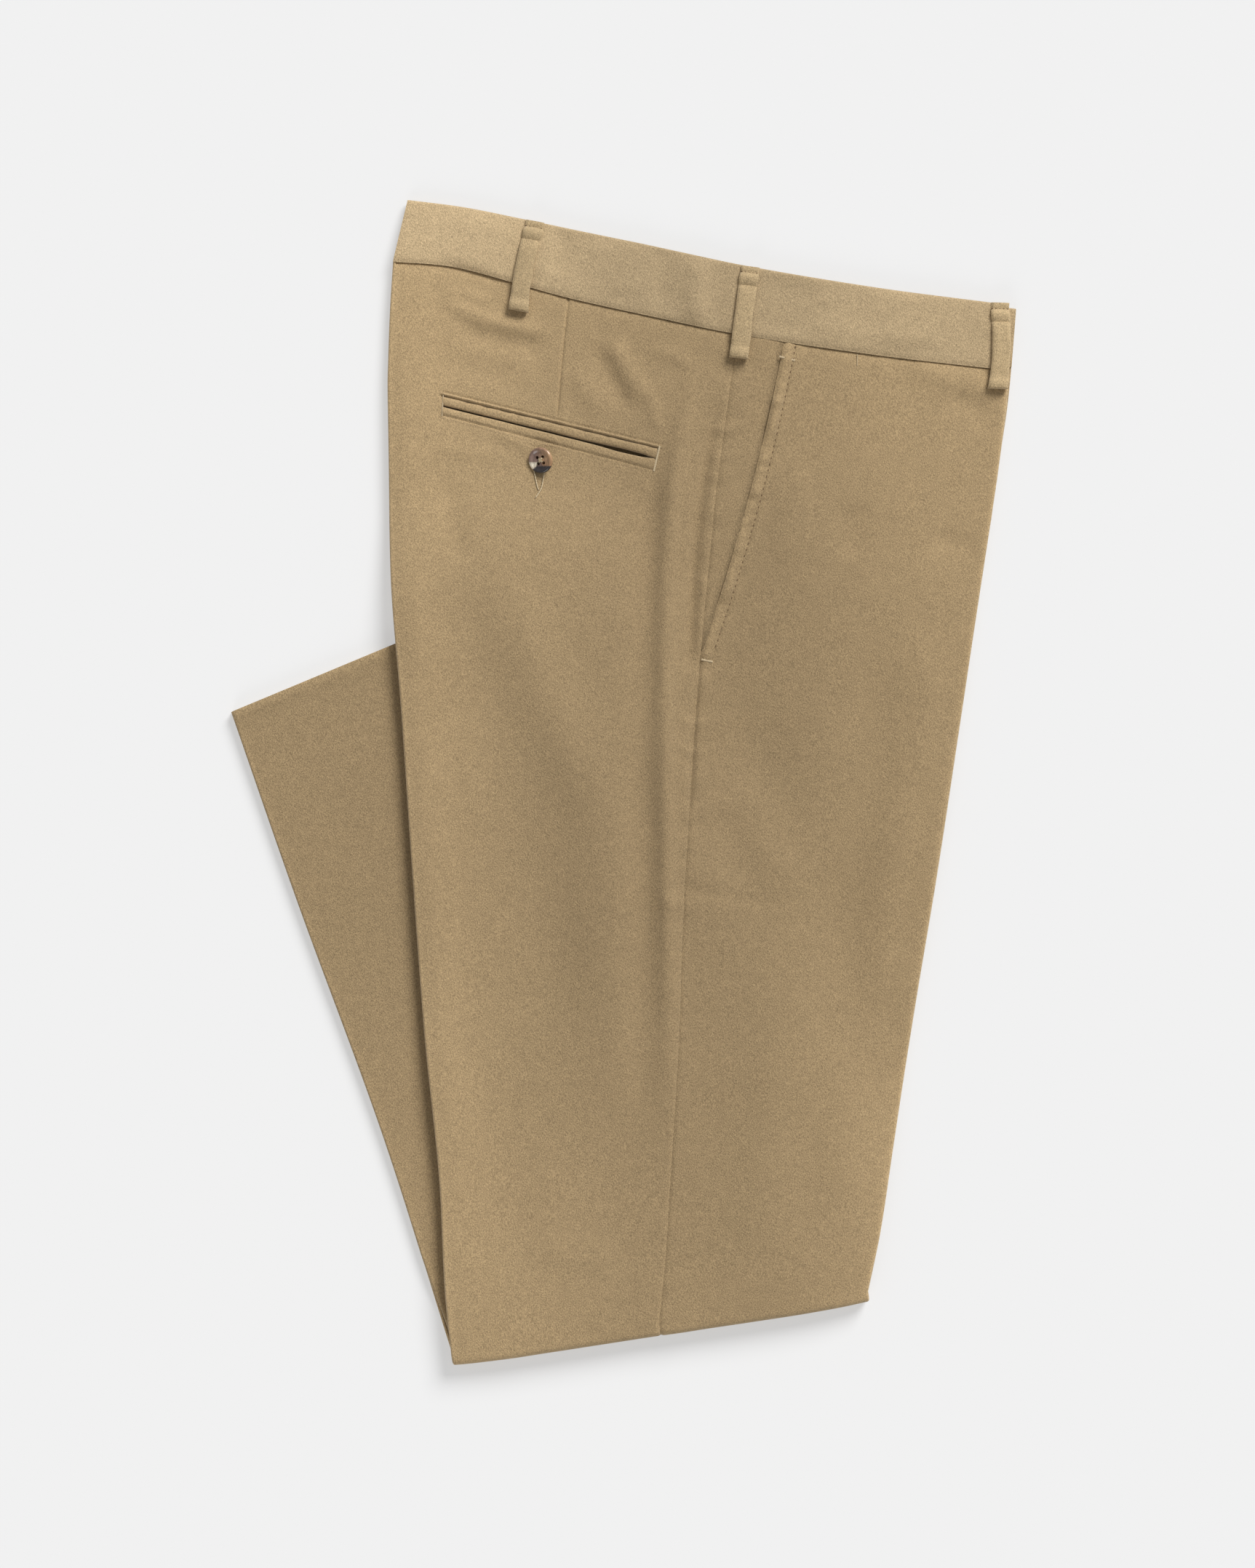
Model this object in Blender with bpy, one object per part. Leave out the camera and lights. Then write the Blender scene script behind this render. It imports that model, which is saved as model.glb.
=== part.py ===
"""Moleskin trousers, folded flat.

The trousers lie on their left side, folded in half lengthwise: the wearer's right side is up,
the seat is at -X and the fly at +X.  The legs are folded under once, just below the knee, so
that the lower legs come out at -X with their hems towards the waist.

Every piece is worked out from a few sections across the leg.  A place in the cloth is given
by its row (a line across the leg), its plan position along that row and its depth under the
outside of the right leg.  Row.place() turns that into a point, round the knee fold as well.
Sizes are in millimetres; MM turns them into metres.
"""
import math
from collections import namedtuple

import bmesh
import bpy
from mathutils import Matrix, Vector

MM = 0.001
MERGE = 0.00001                   # points this close are one, in metres

# Cloth
WALL = 1.4                        # moleskin with its turnings
GAP = 0.3                         # between pieces at a seam and between layers
PLY = 2 * WALL + GAP              # one trouser leg pressed flat
STACK = 2 * PLY + GAP             # both legs, one on the other
CREASE = PLY / 2                  # outer radius of a pressed crease
CREASE_BORE = GAP / 2             # inner radius of a pressed crease
CORE_DEPTH = WALL + 2 * GAP       # outside of the hidden layers, under the right leg's outside
CORE_INSET = CREASE + GAP         # hidden layers start this far inside the right leg's crease
CORE_RIM = 4.0                    # width of their layered rim
CORE_NOTCH = 1.0                  # depth of the notch between the two legs in that rim
CORE_STEP = 0.2                   # run of the step where the left back panel ends
CREASE_STEPS = 4                  # facets round a pressed crease
CROWN = 1.5                       # air between the layers away from the creases
CROWN_WIDTH = 45.0                # from a crease to the full crown
CREEP = 2.9                       # how far the left leg draws in at the knee fold
CREEP_RUN = 75.0                  # length along the leg over which it draws in
FOLD_STEPS = 8                    # facets round the knee fold
DRAPE_MARGIN = 12.0               # the upper legs stay level this far past the lower legs
DRAPE_WIDTH = 80.0                # then come down to the table over this width

# Waistband and belt loops
BAND_RISE = 0.6                   # waistband above the panels
BAND_FACE_LINES = (0.35, 0.7)     # lines across its face, as parts of its width
BAND_BACK_LINE = 0.5              # and across its back
BAND_BORE_STEPS = 2               # facets round the inside of its upper edge
BAND_DROP = 1.6                   # left half's upper edge under the right half's
LEFT_BAND_END = ((245.4, 259.9), (248.7, 301.5))   # left half's end at the fly: seam and top
LEFT_PEEK = 1.4                   # left front panel past the right one at the waist
LEFT_PEEK_RUN = 70.0              # length down the front over which that shows
DIP_RUN = 120.0                   # rows follow the dip of the waist seam down to here
LOOP_WIDTH = 12.6
LOOP_WALL = 1.8                   # a loop is cloth folded in three
LOOP_TACK = 5.0                   # length sewn flat at the top
LOOP_LEAVE = 12.0                 # from the top to where it has left the band by LOOP_SPRING
LOOP_SPRING = 0.9
LOOP_SAG = 0.2                    # its middle hangs this much closer to the band
LOOP_SHOULDER = 14.0              # from the lower end to where it stands full off the band
LOOP_RETURN = 12.0                # length turned under at the lower end
LOOP_BITE = 0.4                   # between a loop and its turned end
LOOP_TIP = (1.2, 0.8, 0.2)        # run of the rounding at the lower end: inside, outside, back
LOOP_EDGE = ((-0.5, 0.25), (-0.42, 0.0), (0.42, 0.0), (0.5, 0.25))  # across, rounding down

# Pockets
POCKET_LIP = 1.5                  # rise of the front panel along the slant opening
POCKET_LIP_WIDTH = 18.0
POCKET_LIP_FADE = 30.0            # length over which it dies out at the lower end
SLIT_LEFT = 0.4                   # back pocket slit at its two ends
SLIT_RIGHT = 2.0
SLIT_OPENING = (0.3, 0.9)         # it widens between these parts of its length
WELT_STEPS = 9
WELT_ROUND = 0.5                  # rounding of a welt along the slit
MOUTH_CUT = 10.0                  # height of the body that cuts the mouth
FACING_END_WIDTH = 3.0            # the facing stops where it gets narrower than this

# Button
BUTTON_RADIUS = 8.25
BUTTON_HOLE_RADIUS = 0.95
BUTTON_HOLE_SPACING = 3.7
BUTTON_STEPS = 32
BUTTON_HOLE_STEPS = 12
BUTTON_TILT = (math.radians(8.0), math.radians(-18.0), math.radians(8.0))
BUTTON_LIFT = 2.9                 # middle of its back over the cloth

ProfilePoint = namedtuple("ProfilePoint", "radius height")

# The button's turned profile, from the middle of its back round the rim to its dished face.
BUTTON_PROFILE = (
    ProfilePoint(0.0, 0.0),
    ProfilePoint(6.6, 0.0),
    ProfilePoint(7.9, 0.6),
    ProfilePoint(BUTTON_RADIUS, 1.5),
    ProfilePoint(8.0, 2.5),
    ProfilePoint(7.2, 3.0),
    ProfilePoint(6.3, 2.7),
    ProfilePoint(5.2, 2.1),
    ProfilePoint(0.0, 1.9),
)

ROW_SPACING = 27.0                # between rows on the thigh
SHIN_ROW_SPACING = 45.0

Section = namedtuple("Section", "name back seam front")

# Sections across the upper legs, as they lie, seen from above.
THIGH = (
    Section("waist", (-146.1, 329.1), (69.7, 283.4), (244.0, 260.1)),
    Section("hip", (-148.1, 296.7), (67.4, 249.3), (241.3, 230.0)),
    Section("seat", (-149.0, 218.5), (58.0, 172.5), (231.6, 160.1)),
    Section("pocket end", (-147.2, 128.8), (49.5, 83.7), (221.5, 94.3)),
    Section("crotch", (-141.0, 50.6), (43.5, 11.5), (211.4, 27.6)),
    Section("mid thigh", (-133.4, -59.8), (38.0, -78.2), (198.0, -59.8)),
    Section("low thigh", (-125.8, -161.0), (34.7, -167.9), (184.2, -142.6)),
    Section("above knee", (-116.6, -250.7), (29.9, -246.1), (170.2, -232.3)),
    Section("knee", (-113.2, -319.7), (26.2, -303.6), (162.2, -283.8)),
    Section("fold", (-109.0, -362.0), (22.3, -341.8), (154.3, -321.8)),
)

# Sections across the lower legs, folded under.
SHIN = (
    Section("fold", (-109.0, -362.0), (22.3, -341.8), (154.3, -321.8)),
    Section("calf", (-153.0, -223.1), (-30.6, -195.5), (82.6, -170.2)),
    Section("ankle", (-206.8, -75.9), (-91.3, -38.6), (5.3, -7.8)),
    Section("hem", (-248.6, 44.2), (-141.5, 88.8), (-57.3, 124.2)),
)

WaistPoint = namedtuple("WaistPoint", "seam top")

# The waistband from the centre back to the fly: its lower seam and its upper edge.
WAIST = (
    WaistPoint((-146.1, 328.9), (-136.8, 368.57)),
    WaistPoint((-109.2, 325.7), (-100.1, 363.6)),
    WaistPoint((-71.5, 316.0), (-62.3, 356.0)),
    WaistPoint((-37.0, 306.4), (-29.7, 349.1)),
    WaistPoint((10.3, 295.8), (16.3, 339.6)),
    WaistPoint((69.7, 283.4), (73.8, 327.3)),
    WaistPoint((157.6, 270.0), (158.9, 313.0)),
    WaistPoint((244.0, 260.1), (243.6, 302.0)),
)

Fold = namedtuple("Fold", "name path half_width height")
FOLD_TAPER = 0.25                 # part of a fold's length over which each end dies out

# Large soft folds of the upper cloth; a trough has a negative height.
FOLDS = (
    Fold("side ridge", ((45.3, 256.7), (28.8, 98.0), (35.2, -67.6), (28.8, -232.8)), 9.0, 2.2),
    Fold("side trough", ((24.0, 200.0), (17.0, 60.0), (19.0, -110.0), (12.0, -235.0)), 11.0, -0.9),
    Fold("seat ridge", ((-70.6, 177.1), (-37.5, 95.0), (-10.8, 18.4), (5.8, -166.5)), 22.0, 1.3),
    Fold("seat valley", ((-96.8, 137.5), (-64.0, 72.0), (-37.5, 5.1), (-20.9, -146.7)), 22.0, -0.9),
    Fold("back ridge", ((-133.2, 98.0), (-119.8, -34.5), (-103.7, -265.9)), 14.0, 0.7),
    Fold("front valley", ((162.0, 120.0), (166.0, -10.0), (144.0, -130.0)), 20.0, -0.8),
    Fold("hip drag", ((-123.5, 296.2), (-81.7, 285.2), (-43.9, 279.7)), 9.0, -0.7),
)

BeltLoop = namedtuple("BeltLoop", "name top bottom")

BELT_LOOPS = (
    BeltLoop("back_belt_loop", (-56.5, 353.6), (-67.4, 298.1)),
    BeltLoop("side_belt_loop", (79.6, 325.0), (72.5, 268.2)),
    BeltLoop("front_belt_loop", (237.4, 301.4), (236.2, 248.6)),
)

SLANT_TOP = (101.0, 277.4)        # slant pocket opening at the waist seam
SLANT_END = (49.5, 83.7)          # and where it runs into the side seam
SLANT_BOW = 3.8                   # its middle bows this far forward
SLANT_ROUNDS = 20                 # rounds of the search for where a row meets it

# Back pocket: the mouth in the panel, the slit between the welts, and the button under it.
MOUTH_UPPER = ((-113.9, 243.8), (20.9, 211.1))
MOUTH_LOWER = ((-114.3, 231.7), (18.2, 197.3))
SLIT_LINE = ((-113.9, 237.6), (19.6, 204.6))
BUTTON_CENTRE = (-51.9, 203.3)

# Positions across the leg: the back edge, the side seam, just in front of it, the front edge.
BACK, SEAM, PAST_SEAM, FRONT = 0.0, 1.0, 1.000001, 2.0

# Positions of the mesh lines between the back edge (0) and the side seam (1) ...
BACK_LINES = (0.10, 0.22, 0.34, 0.46, 0.58, 0.69, 0.79, 0.85, 0.89, 0.93, 0.97)
# ... and between the front panel's inner edge (0) and the front edge (1).
FRONT_LINES = (0.045, 0.12, 0.27, 0.44, 0.62, 0.81)

Finish = namedtuple("Finish", "colour roughness")

FINISHES = {
    "moleskin": Finish((0.36, 0.26, 0.155), 0.95),
    "moleskin_inside": Finish((0.30, 0.22, 0.13), 0.95),
    "horn": Finish((0.12, 0.07, 0.045), 0.35),
}
SHARP_ANGLE = math.radians(40.0)


def ease(t):
    """Smooth step from 0 to 1."""
    t = min(max(t, 0.0), 1.0)
    return t * t * (3.0 - 2.0 * t)


def spread(rows, spacing):
    """Rows of plan points on smooth curves through the given ones, about spacing apart."""
    rows = [[Vector(point) for point in row] for row in rows]
    knots = [0.0]
    for near, far in zip(rows, rows[1:]):
        knots.append(knots[-1] + sum((b - a).length for a, b in zip(near, far)) / len(near))

    def slope(i, column):
        before, after = max(i - 1, 0), min(i + 1, len(rows) - 1)
        return (rows[after][column] - rows[before][column]) / (knots[after] - knots[before])

    result = []
    for i in range(len(rows) - 1):
        length = knots[i + 1] - knots[i]
        steps = max(1, round(length / spacing))
        for step in range(steps):
            t = step / steps
            row = []
            for column in range(len(rows[i])):
                start, end = rows[i][column], rows[i + 1][column]
                leave, arrive = slope(i, column) * length, slope(i + 1, column) * length
                row.append(start * (2 * t**3 - 3 * t**2 + 1) + leave * (t**3 - 2 * t**2 + t)
                           + end * (3 * t**2 - 2 * t**3) + arrive * (t**3 - t**2))
            result.append(row)
    result.append(rows[-1])
    return result


THIGH_ROWS = spread([section[1:] for section in THIGH], ROW_SPACING)
SHIN_ROWS = spread([section[1:] for section in SHIN], SHIN_ROW_SPACING)
WAIST_LINE = spread(WAIST, ROW_SPACING)
BACK_EDGE = [WAIST_LINE[0][1]] + [row[0] for row in THIGH_ROWS]
FRONT_EDGE = [WAIST_LINE[-1][1]] + [row[2] for row in THIGH_ROWS]


def edge_x(edge, y):
    """X of an edge that runs down the plan, at the height y."""
    for upper, lower in zip(edge, edge[1:]):
        if y >= lower.y:
            break
    t = (y - upper.y) / (lower.y - upper.y)
    return upper.x + (lower.x - upper.x) * min(max(t, 0.0), 1.0)


def crown(x, y):
    """Thickness that the air between the layers adds to a stack of both legs."""
    inside = min(x - edge_x(BACK_EDGE, y), edge_x(FRONT_EDGE, y) - x) / CROWN_WIDTH
    return CROWN * math.sin(math.pi / 2 * min(max(inside, 0.0), 1.0))


def past_line(point, start, end):
    """Distance of a point to the left of the line from start to end."""
    run = Vector(end) - Vector(start)
    offset = Vector(point) - Vector(start)
    return run.cross(offset) / run.length


def lift(x, y):
    """How high the upper legs are carried by the lower legs under them."""
    hem = SHIN[-1]
    past_hem = past_line((x, y), hem.back, hem.front)
    past_shin = past_line((x, y), SHIN[0].front, hem.front) * -1.0
    past = math.hypot(max(past_hem, 0.0), max(past_shin, 0.0))
    held = 1.0 - ease((past - DRAPE_MARGIN) / DRAPE_WIDTH)
    return (STACK + crown(x, y) + 2 * GAP) * held


def relief(x, y):
    """Height of the soft folds at a plan point."""
    point = Vector((x, y))
    height = 0.0
    for fold in FOLDS:
        path = [Vector(p) for p in fold.path]
        best = None
        for i, (start, end) in enumerate(zip(path, path[1:])):
            run = end - start
            t = min(max((point - start).dot(run) / run.length_squared, 0.0), 1.0)
            distance = (point - start - run * t).length
            if best is None or distance < best[0]:
                best = (distance, (i + t) / (len(path) - 1))
        distance, along = best
        taper = ease(along / FOLD_TAPER) * ease((1.0 - along) / FOLD_TAPER)
        height += fold.height * taper * math.exp(-(distance / fold.half_width) ** 2)
    return height


def cloth_height(x, y):
    """Height of the right leg's outside over the table, on the upper legs."""
    return STACK + crown(x, y) + lift(x, y) + relief(x, y)


def waist_dip(x):
    """How far the waist seam leaves the straight lines of its section."""
    for near, far in zip(WAIST_LINE, WAIST_LINE[1:]):
        if x <= far[0].x:
            break
    t = (x - near[0].x) / (far[0].x - near[0].x)
    seam_y = near[0].y + (far[0].y - near[0].y) * t
    back, middle, front = THIGH_ROWS[0]
    start, end = (back, middle) if x < middle.x else (middle, front)
    return seam_y - start.y - (end.y - start.y) * (x - start.x) / (end.x - start.x)


def slant_x(y):
    """X of the slant pocket opening at the height y."""
    top, end = Vector(SLANT_TOP), Vector(SLANT_END)
    t = (y - end.y) / (top.y - end.y)
    return end.x + (top.x - end.x) * t + 4 * SLANT_BOW * t * (1 - t)


class Row:
    """A line across the leg, from the back edge over the side seam to the front edge."""

    def __init__(self, points, turn=0.0, fold_distance=0.0, waist_distance=DIP_RUN):
        self.back, self.seam, self.front = points
        self.turn = turn
        self.dip = 1.0 - ease(waist_distance / DIP_RUN)
        self.peek = LEFT_PEEK * (1.0 - ease(waist_distance / LEFT_PEEK_RUN))
        self.creep = CREEP * (1.0 - ease(fold_distance / CREEP_RUN))
        along = (THIGH_ROWS[-1][2] - THIGH_ROWS[-1][0]).normalized()
        self.down = Vector((along.y, -along.x))

    def plan(self, across, shift=0.0):
        """Plan point at a position across, shifted some millimetres towards the front."""
        start, end = (self.back, self.seam) if across <= SEAM else (self.seam, self.front)
        t = across if across <= SEAM else across - SEAM
        point = start + (end - start) * t + (end - start).normalized() * shift
        if self.dip:
            point = Vector((point.x, point.y + self.dip * waist_dip(point.x)))
        return point

    def place(self, point, depth):
        """The point at some depth under the right leg's outside, round the knee fold too."""
        radius = cloth_height(point.x, point.y) / 2
        reach = radius - depth
        out = self.down * (reach * math.sin(self.turn))
        return Vector((point.x + out.x, point.y + out.y, radius + reach * math.cos(self.turn)))

    def at(self, across, shift, depth):
        return self.place(self.plan(across, shift), depth)

    def front_start(self):
        """Where the front panel begins: at the slant pocket opening or at the side seam."""
        if self.turn or self.seam.y <= SLANT_END[1]:
            return PAST_SEAM
        across = PAST_SEAM
        for _ in range(SLANT_ROUNDS):
            point = self.plan(across)
            across = SEAM + (slant_x(point.y) - self.seam.x) / (self.front.x - self.seam.x)
        return max(across, PAST_SEAM)


def make_rows():
    """All rows from the waist seam down the thigh, round the knee fold and up to the hem."""
    def middle(row):
        return row[1]

    total = 0.0
    thigh = []
    for i, points in enumerate(THIGH_ROWS):
        if i:
            total += (middle(points) - middle(THIGH_ROWS[i - 1])).length
        to_fold = (middle(points) - middle(THIGH_ROWS[-1])).length
        thigh.append(Row(points, 0.0, to_fold, total))
    knee = [Row(THIGH_ROWS[-1], math.pi * step / FOLD_STEPS) for step in range(1, FOLD_STEPS)]
    shin = [Row(points, math.pi, (middle(points) - middle(SHIN_ROWS[0])).length)
            for points in SHIN_ROWS]
    return thigh, knee, shin


def skin(bm, grid):
    """Two triangles for each cell, cut along the same diagonal everywhere."""
    for near, far in zip(grid, grid[1:]):
        for a, b, c, d in zip(near, near[1:], far[1:], far):
            bm.faces.new((a, b, c))
            bm.faces.new((a, c, d))


def finish(bm, name, material):
    bmesh.ops.recalc_face_normals(bm, faces=bm.faces)
    mesh = bpy.data.meshes.new(name)
    bm.to_mesh(mesh)
    bm.free()
    mesh.shade_smooth()
    mesh.set_sharp_from_angle(angle=SHARP_ANGLE)
    mesh.materials.append(bpy.data.materials[material])
    thing = bpy.data.objects.new(name, mesh)
    bpy.context.scene.collection.objects.link(thing)
    return thing


def wall(name, material, outer, inner, back_rim=None, front_rim=None):
    """A closed wall between two grids of points, with rims of more points at its sides."""
    bm = bmesh.new()

    def vertices(grid):
        return [[bm.verts.new(point * MM) for point in row] for row in grid]

    outside, inside = vertices(outer), vertices(inner)
    rims = []
    for rim, end in ((back_rim, 0), (front_rim, -1)):
        rim = vertices(rim) if rim else [[] for _ in outer]
        rims.append([[a[end], *r, b[end]] for a, r, b in zip(outside, rim, inside)])
    for grid in (outside, inside, *rims):
        skin(bm, grid)
    for end in (0, -1):
        skin(bm, [outside[end], inside[end]])
        for rim in rims:
            if len(rim[end]) > 2:
                bm.faces.new(rim[end])
    return finish(bm, name, material)


def loft(name, material, rings):
    """A closed body through rings of points, with flat ends."""
    bm = bmesh.new()
    rings = [[bm.verts.new(point * MM) for point in ring] for ring in rings]
    skin(bm, [ring + ring[:1] for ring in rings])
    bm.faces.new(rings[0])
    bm.faces.new(rings[-1])
    return finish(bm, name, material)


def crease(radius, inset, depth, steps=CREASE_STEPS):
    """Inset and depth of points round a pressed crease, from its upper to its lower side."""
    for step in range(steps + 1):
        angle = math.pi * step / steps
        yield inset - radius * math.sin(angle), depth - radius * math.cos(angle)


def front_lip(x, y):
    """Rise of the front panel along the slant pocket opening."""
    near = 1.0 - ease((x - slant_x(y)) / POCKET_LIP_WIDTH)
    return POCKET_LIP * near * ease((y - SLANT_END[1]) / POCKET_LIP_FADE + 0.5)


def right_back_panel(rows):
    outer, inner = [], []
    for row in rows:
        lines = [(line, 0.0) for line in BACK_LINES] + [(SEAM, -GAP / 2)]
        for grid, radius, depth in ((outer, CREASE, 0.0), (inner, CREASE_BORE, WALL)):
            roll = list(crease(radius, CREASE, CREASE))[::-1]
            grid.append([row.at(BACK, s, d) for s, d in roll]
                        + [row.at(a, s, depth) for a, s in lines])
    panel = wall("right_back_panel", "moleskin", outer, inner)
    cut_mouth(panel)
    return panel


def cut_mouth(panel):
    """Cut the back pocket's mouth through the panel."""
    corners = (MOUTH_UPPER[0], MOUTH_UPPER[1], MOUTH_LOWER[1], MOUTH_LOWER[0])
    bottom = cloth_height(*BUTTON_CENTRE) - CORE_DEPTH - WALL
    rings = [[Vector((x, y, z)) for x, y in corners] for z in (bottom, bottom + MOUTH_CUT)]
    cutter = loft("pocket_mouth_cutter", "moleskin", rings)
    cutter.hide_render = True
    cutter.display_type = "WIRE"
    cut = panel.modifiers.new("pocket mouth", "BOOLEAN")
    cut.object = cutter
    cut.operation = "DIFFERENCE"


def front_positions(row):
    start = row.front_start()
    return [start + (FRONT - start) * line for line in FRONT_LINES]


def right_front_panel(rows):
    def on_panel(row, across, shift, depth):
        point = row.plan(across, shift)
        rise = 0.0 if row.turn else front_lip(point.x, point.y)
        return row.place(point, depth - rise)

    outer, inner = [], []
    for row in rows:
        lines = [(row.front_start(), GAP / 2)] + [(a, 0.0) for a in front_positions(row)]
        outer.append([on_panel(row, a, s, 0.0) for a, s in lines]
                     + [row.at(FRONT, -s, d) for s, d in crease(CREASE, CREASE, CREASE)])
        inner.append([on_panel(row, a, s, WALL) for a, s in lines]
                     + [row.at(FRONT, -s, d) for s, d in crease(CREASE_BORE, CREASE, CREASE)])
    return wall("right_front_panel", "moleskin", outer, inner)


def front_pocket_facing(thigh):
    """Cloth that shows between the side seam and the slant opening."""
    outer, inner = [], []
    for row in thigh:
        start = row.front_start()
        if (row.plan(start) - row.plan(SEAM)).length < FACING_END_WIDTH:
            break
        lines = [(PAST_SEAM, GAP / 2), ((SEAM + start) / 2, 0.0), (start, -GAP / 2)]
        outer.append([row.at(a, s, 0.0) for a, s in lines])
        inner.append([row.at(a, s, WALL) for a, s in lines])
    return wall("front_pocket_facing", "moleskin", outer, inner)


def lower_stack(point):
    """Top of the folded lower legs."""
    return STACK + crown(point.x, point.y)


def left_back_panel(shin):
    """Outside of the left lower leg, which lies on top once the legs are folded under."""
    outer, inner = [], []
    for row in shin[1:]:
        points = [row.plan(line) for line in BACK_LINES] + [row.plan(SEAM)]
        for grid, radius, under in ((outer, CREASE, 0.0), (inner, CREASE_BORE, WALL)):
            roll = crease(radius, CREASE + row.creep, STACK - CREASE)
            grid.append([row.at(BACK, s, d) for s, d in roll]
                        + [row.place(p, lower_stack(p) - under) for p in points])
    return wall("left_back_panel", "moleskin", outer, inner)


def inner_layers(thigh, knee, shin):
    """Everything hidden: the inner halves of both legs and the left leg under the right."""
    outer, inner, back_rim, front_rim = [], [], [], []
    step = [(CORE_INSET, CORE_DEPTH), (CORE_INSET, PLY),
            (CORE_INSET + CORE_NOTCH, PLY + GAP / 2)]
    bare_top = STACK - WALL - GAP
    for row in thigh + knee + shin:
        bare = row in shin[1:]
        lines = [(BACK, CORE_RIM)] + [(line, 0.0) for line in BACK_LINES]
        lines += [(SEAM, GAP), (SEAM, GAP + CORE_STEP)]
        lines += [(a, 0.0) for a in front_positions(row)] + [(FRONT, -CORE_RIM)]
        outer.append([row.at(across, shift, CORE_DEPTH) for across, shift in lines])
        lines[0] = (BACK, CORE_RIM + row.creep)
        lines[-1] = (FRONT, -CORE_RIM - row.creep)
        points = [row.plan(*line) for line in lines]
        depths = [lower_stack(p) + (0.0 if row.turn else relief(p.x, p.y)) for p in points]
        if bare:
            seam = lines.index((SEAM, GAP))
            depths[:seam + 1] = [depth - WALL - GAP for depth in depths[:seam + 1]]
        inner.append([row.place(p, d) for p, d in zip(points, depths)])

        roll = [(s + row.creep, d) for s, d in crease(CREASE, CREASE, STACK - CREASE)]
        front_rim.append([row.at(FRONT, -s, d) for s, d in step]
                         + [row.at(FRONT, row.peek - s, d) for s, d in roll])
        if bare:
            drop = (bare_top - PLY - GAP) / CREASE_STEPS
            roll = [(CORE_INSET + row.creep, PLY + GAP + drop * i)
                    for i in range(CREASE_STEPS + 1)]
        back_rim.append([row.at(BACK, s, d) for s, d in step + roll])
    return wall("inner_layers", "moleskin_inside", outer, inner, back_rim, front_rim)


def band_section(seam, top, drop, height_of):
    """One cut through a waistband half: cloth turned over at the upper edge."""
    up = (top - seam).normalized()
    width = (top - seam).length - drop
    turn = width - CREASE
    middle = width * BAND_BACK_LINE
    outside = [(GAP, 0.0)] + [(width * line, 0.0) for line in BAND_FACE_LINES]
    outside += [(turn + CREASE - s, d) for s, d in crease(CREASE, CREASE, CREASE)]
    outside += [(middle, PLY), (GAP, PLY)]
    inside = [(GAP, WALL), (middle, WALL)]
    inside += [(turn + CREASE - s, d)
               for s, d in crease(CREASE_BORE, CREASE, CREASE, BAND_BORE_STEPS)]
    inside += [(middle, WALL + GAP), (GAP, WALL + GAP)]
    ring = []
    for along, depth in outside + inside[::-1]:
        point = seam + up * along
        ring.append(Vector((point.x, point.y, height_of(point, depth))))
    return ring


def waistband_height(x, y):
    return cloth_height(x, y) + BAND_RISE


def waistbands():
    def right(point, depth):
        return waistband_height(point.x, point.y) - depth

    def left(point, depth):
        return depth

    loft("right_waistband", "moleskin",
         [band_section(seam, top, 0.0, right) for seam, top in WAIST_LINE])
    stations = WAIST_LINE[:-1] + [[Vector(point) for point in LEFT_BAND_END]]
    loft("left_waistband", "moleskin",
         [band_section(seam, top, BAND_DROP, left) for seam, top in stations])


def belt_loop(loop):
    """A strip sewn down at its top, standing off the band, its lower end turned under."""
    top, bottom = Vector(loop.top), Vector(loop.bottom)
    length = (bottom - top).length
    along = (bottom - top) / length
    side = Vector((-along.y, along.x))
    stand = GAP + WALL + LOOP_BITE
    inside_end, outside_end, back_end = (length - run for run in LOOP_TIP)
    under = [(0.0, GAP), (LOOP_TACK, GAP), (LOOP_LEAVE, GAP + LOOP_SPRING),
             (length / 2, stand - LOOP_SAG), (length - LOOP_SHOULDER, stand),
             (inside_end, stand)]
    over = [(run, height + LOOP_WALL) for run, height in under]
    over[-1] = (outside_end, stand + LOOP_WALL)
    tip = [(length, stand + LOOP_WALL / 2), (back_end, GAP + WALL / 2), (outside_end, GAP)]
    back = [(length - LOOP_RETURN, GAP), (length - LOOP_RETURN, GAP + WALL),
            (inside_end, GAP + WALL)]
    outline = over + tip + back + under[::-1]
    rings = []
    for offset, rounding in LOOP_EDGE:
        ring = []
        for i, (run, height) in enumerate(outline):
            point = top + along * run + side * (offset * LOOP_WIDTH)
            drop = rounding if i < len(over) else 0.0
            z = waistband_height(point.x, point.y) + height - drop
            ring.append(Vector((point.x, point.y, z)))
        rings.append(ring)
    return loft(loop.name, "moleskin", rings)


def back_pocket_welts():
    """Two folded strips that fill the mouth, with the slit between them."""
    opens, opened = SLIT_OPENING
    end_room = GAP / (MOUTH_UPPER[1][0] - MOUTH_UPPER[0][0])
    for name, edge in (("back_pocket_upper_welt", MOUTH_UPPER),
                       ("back_pocket_lower_welt", MOUTH_LOWER)):
        rings = []
        for step in range(WELT_STEPS + 1):
            t = step / WELT_STEPS
            t_in = end_room + t * (1 - 2 * end_room)
            outer = Vector(edge[0]).lerp(Vector(edge[1]), t_in)
            slit = Vector(SLIT_LINE[0]).lerp(Vector(SLIT_LINE[1]), t_in)
            gape = ease((t - opens) / (opened - opens))
            width = SLIT_LEFT + (SLIT_RIGHT - SLIT_LEFT) * gape
            run = (outer - slit).normalized()
            start = outer - run * GAP
            end = slit + run * width / 2
            ring = []
            for point, depth in ((start, 0.0), (end + run * WELT_ROUND, 0.0),
                                 (end, WELT_ROUND), (end, WALL), (start, WALL)):
                ring.append(Vector((*point, cloth_height(point.x, point.y) - depth)))
            rings.append(ring)
        loft(name, "moleskin", rings)


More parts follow.
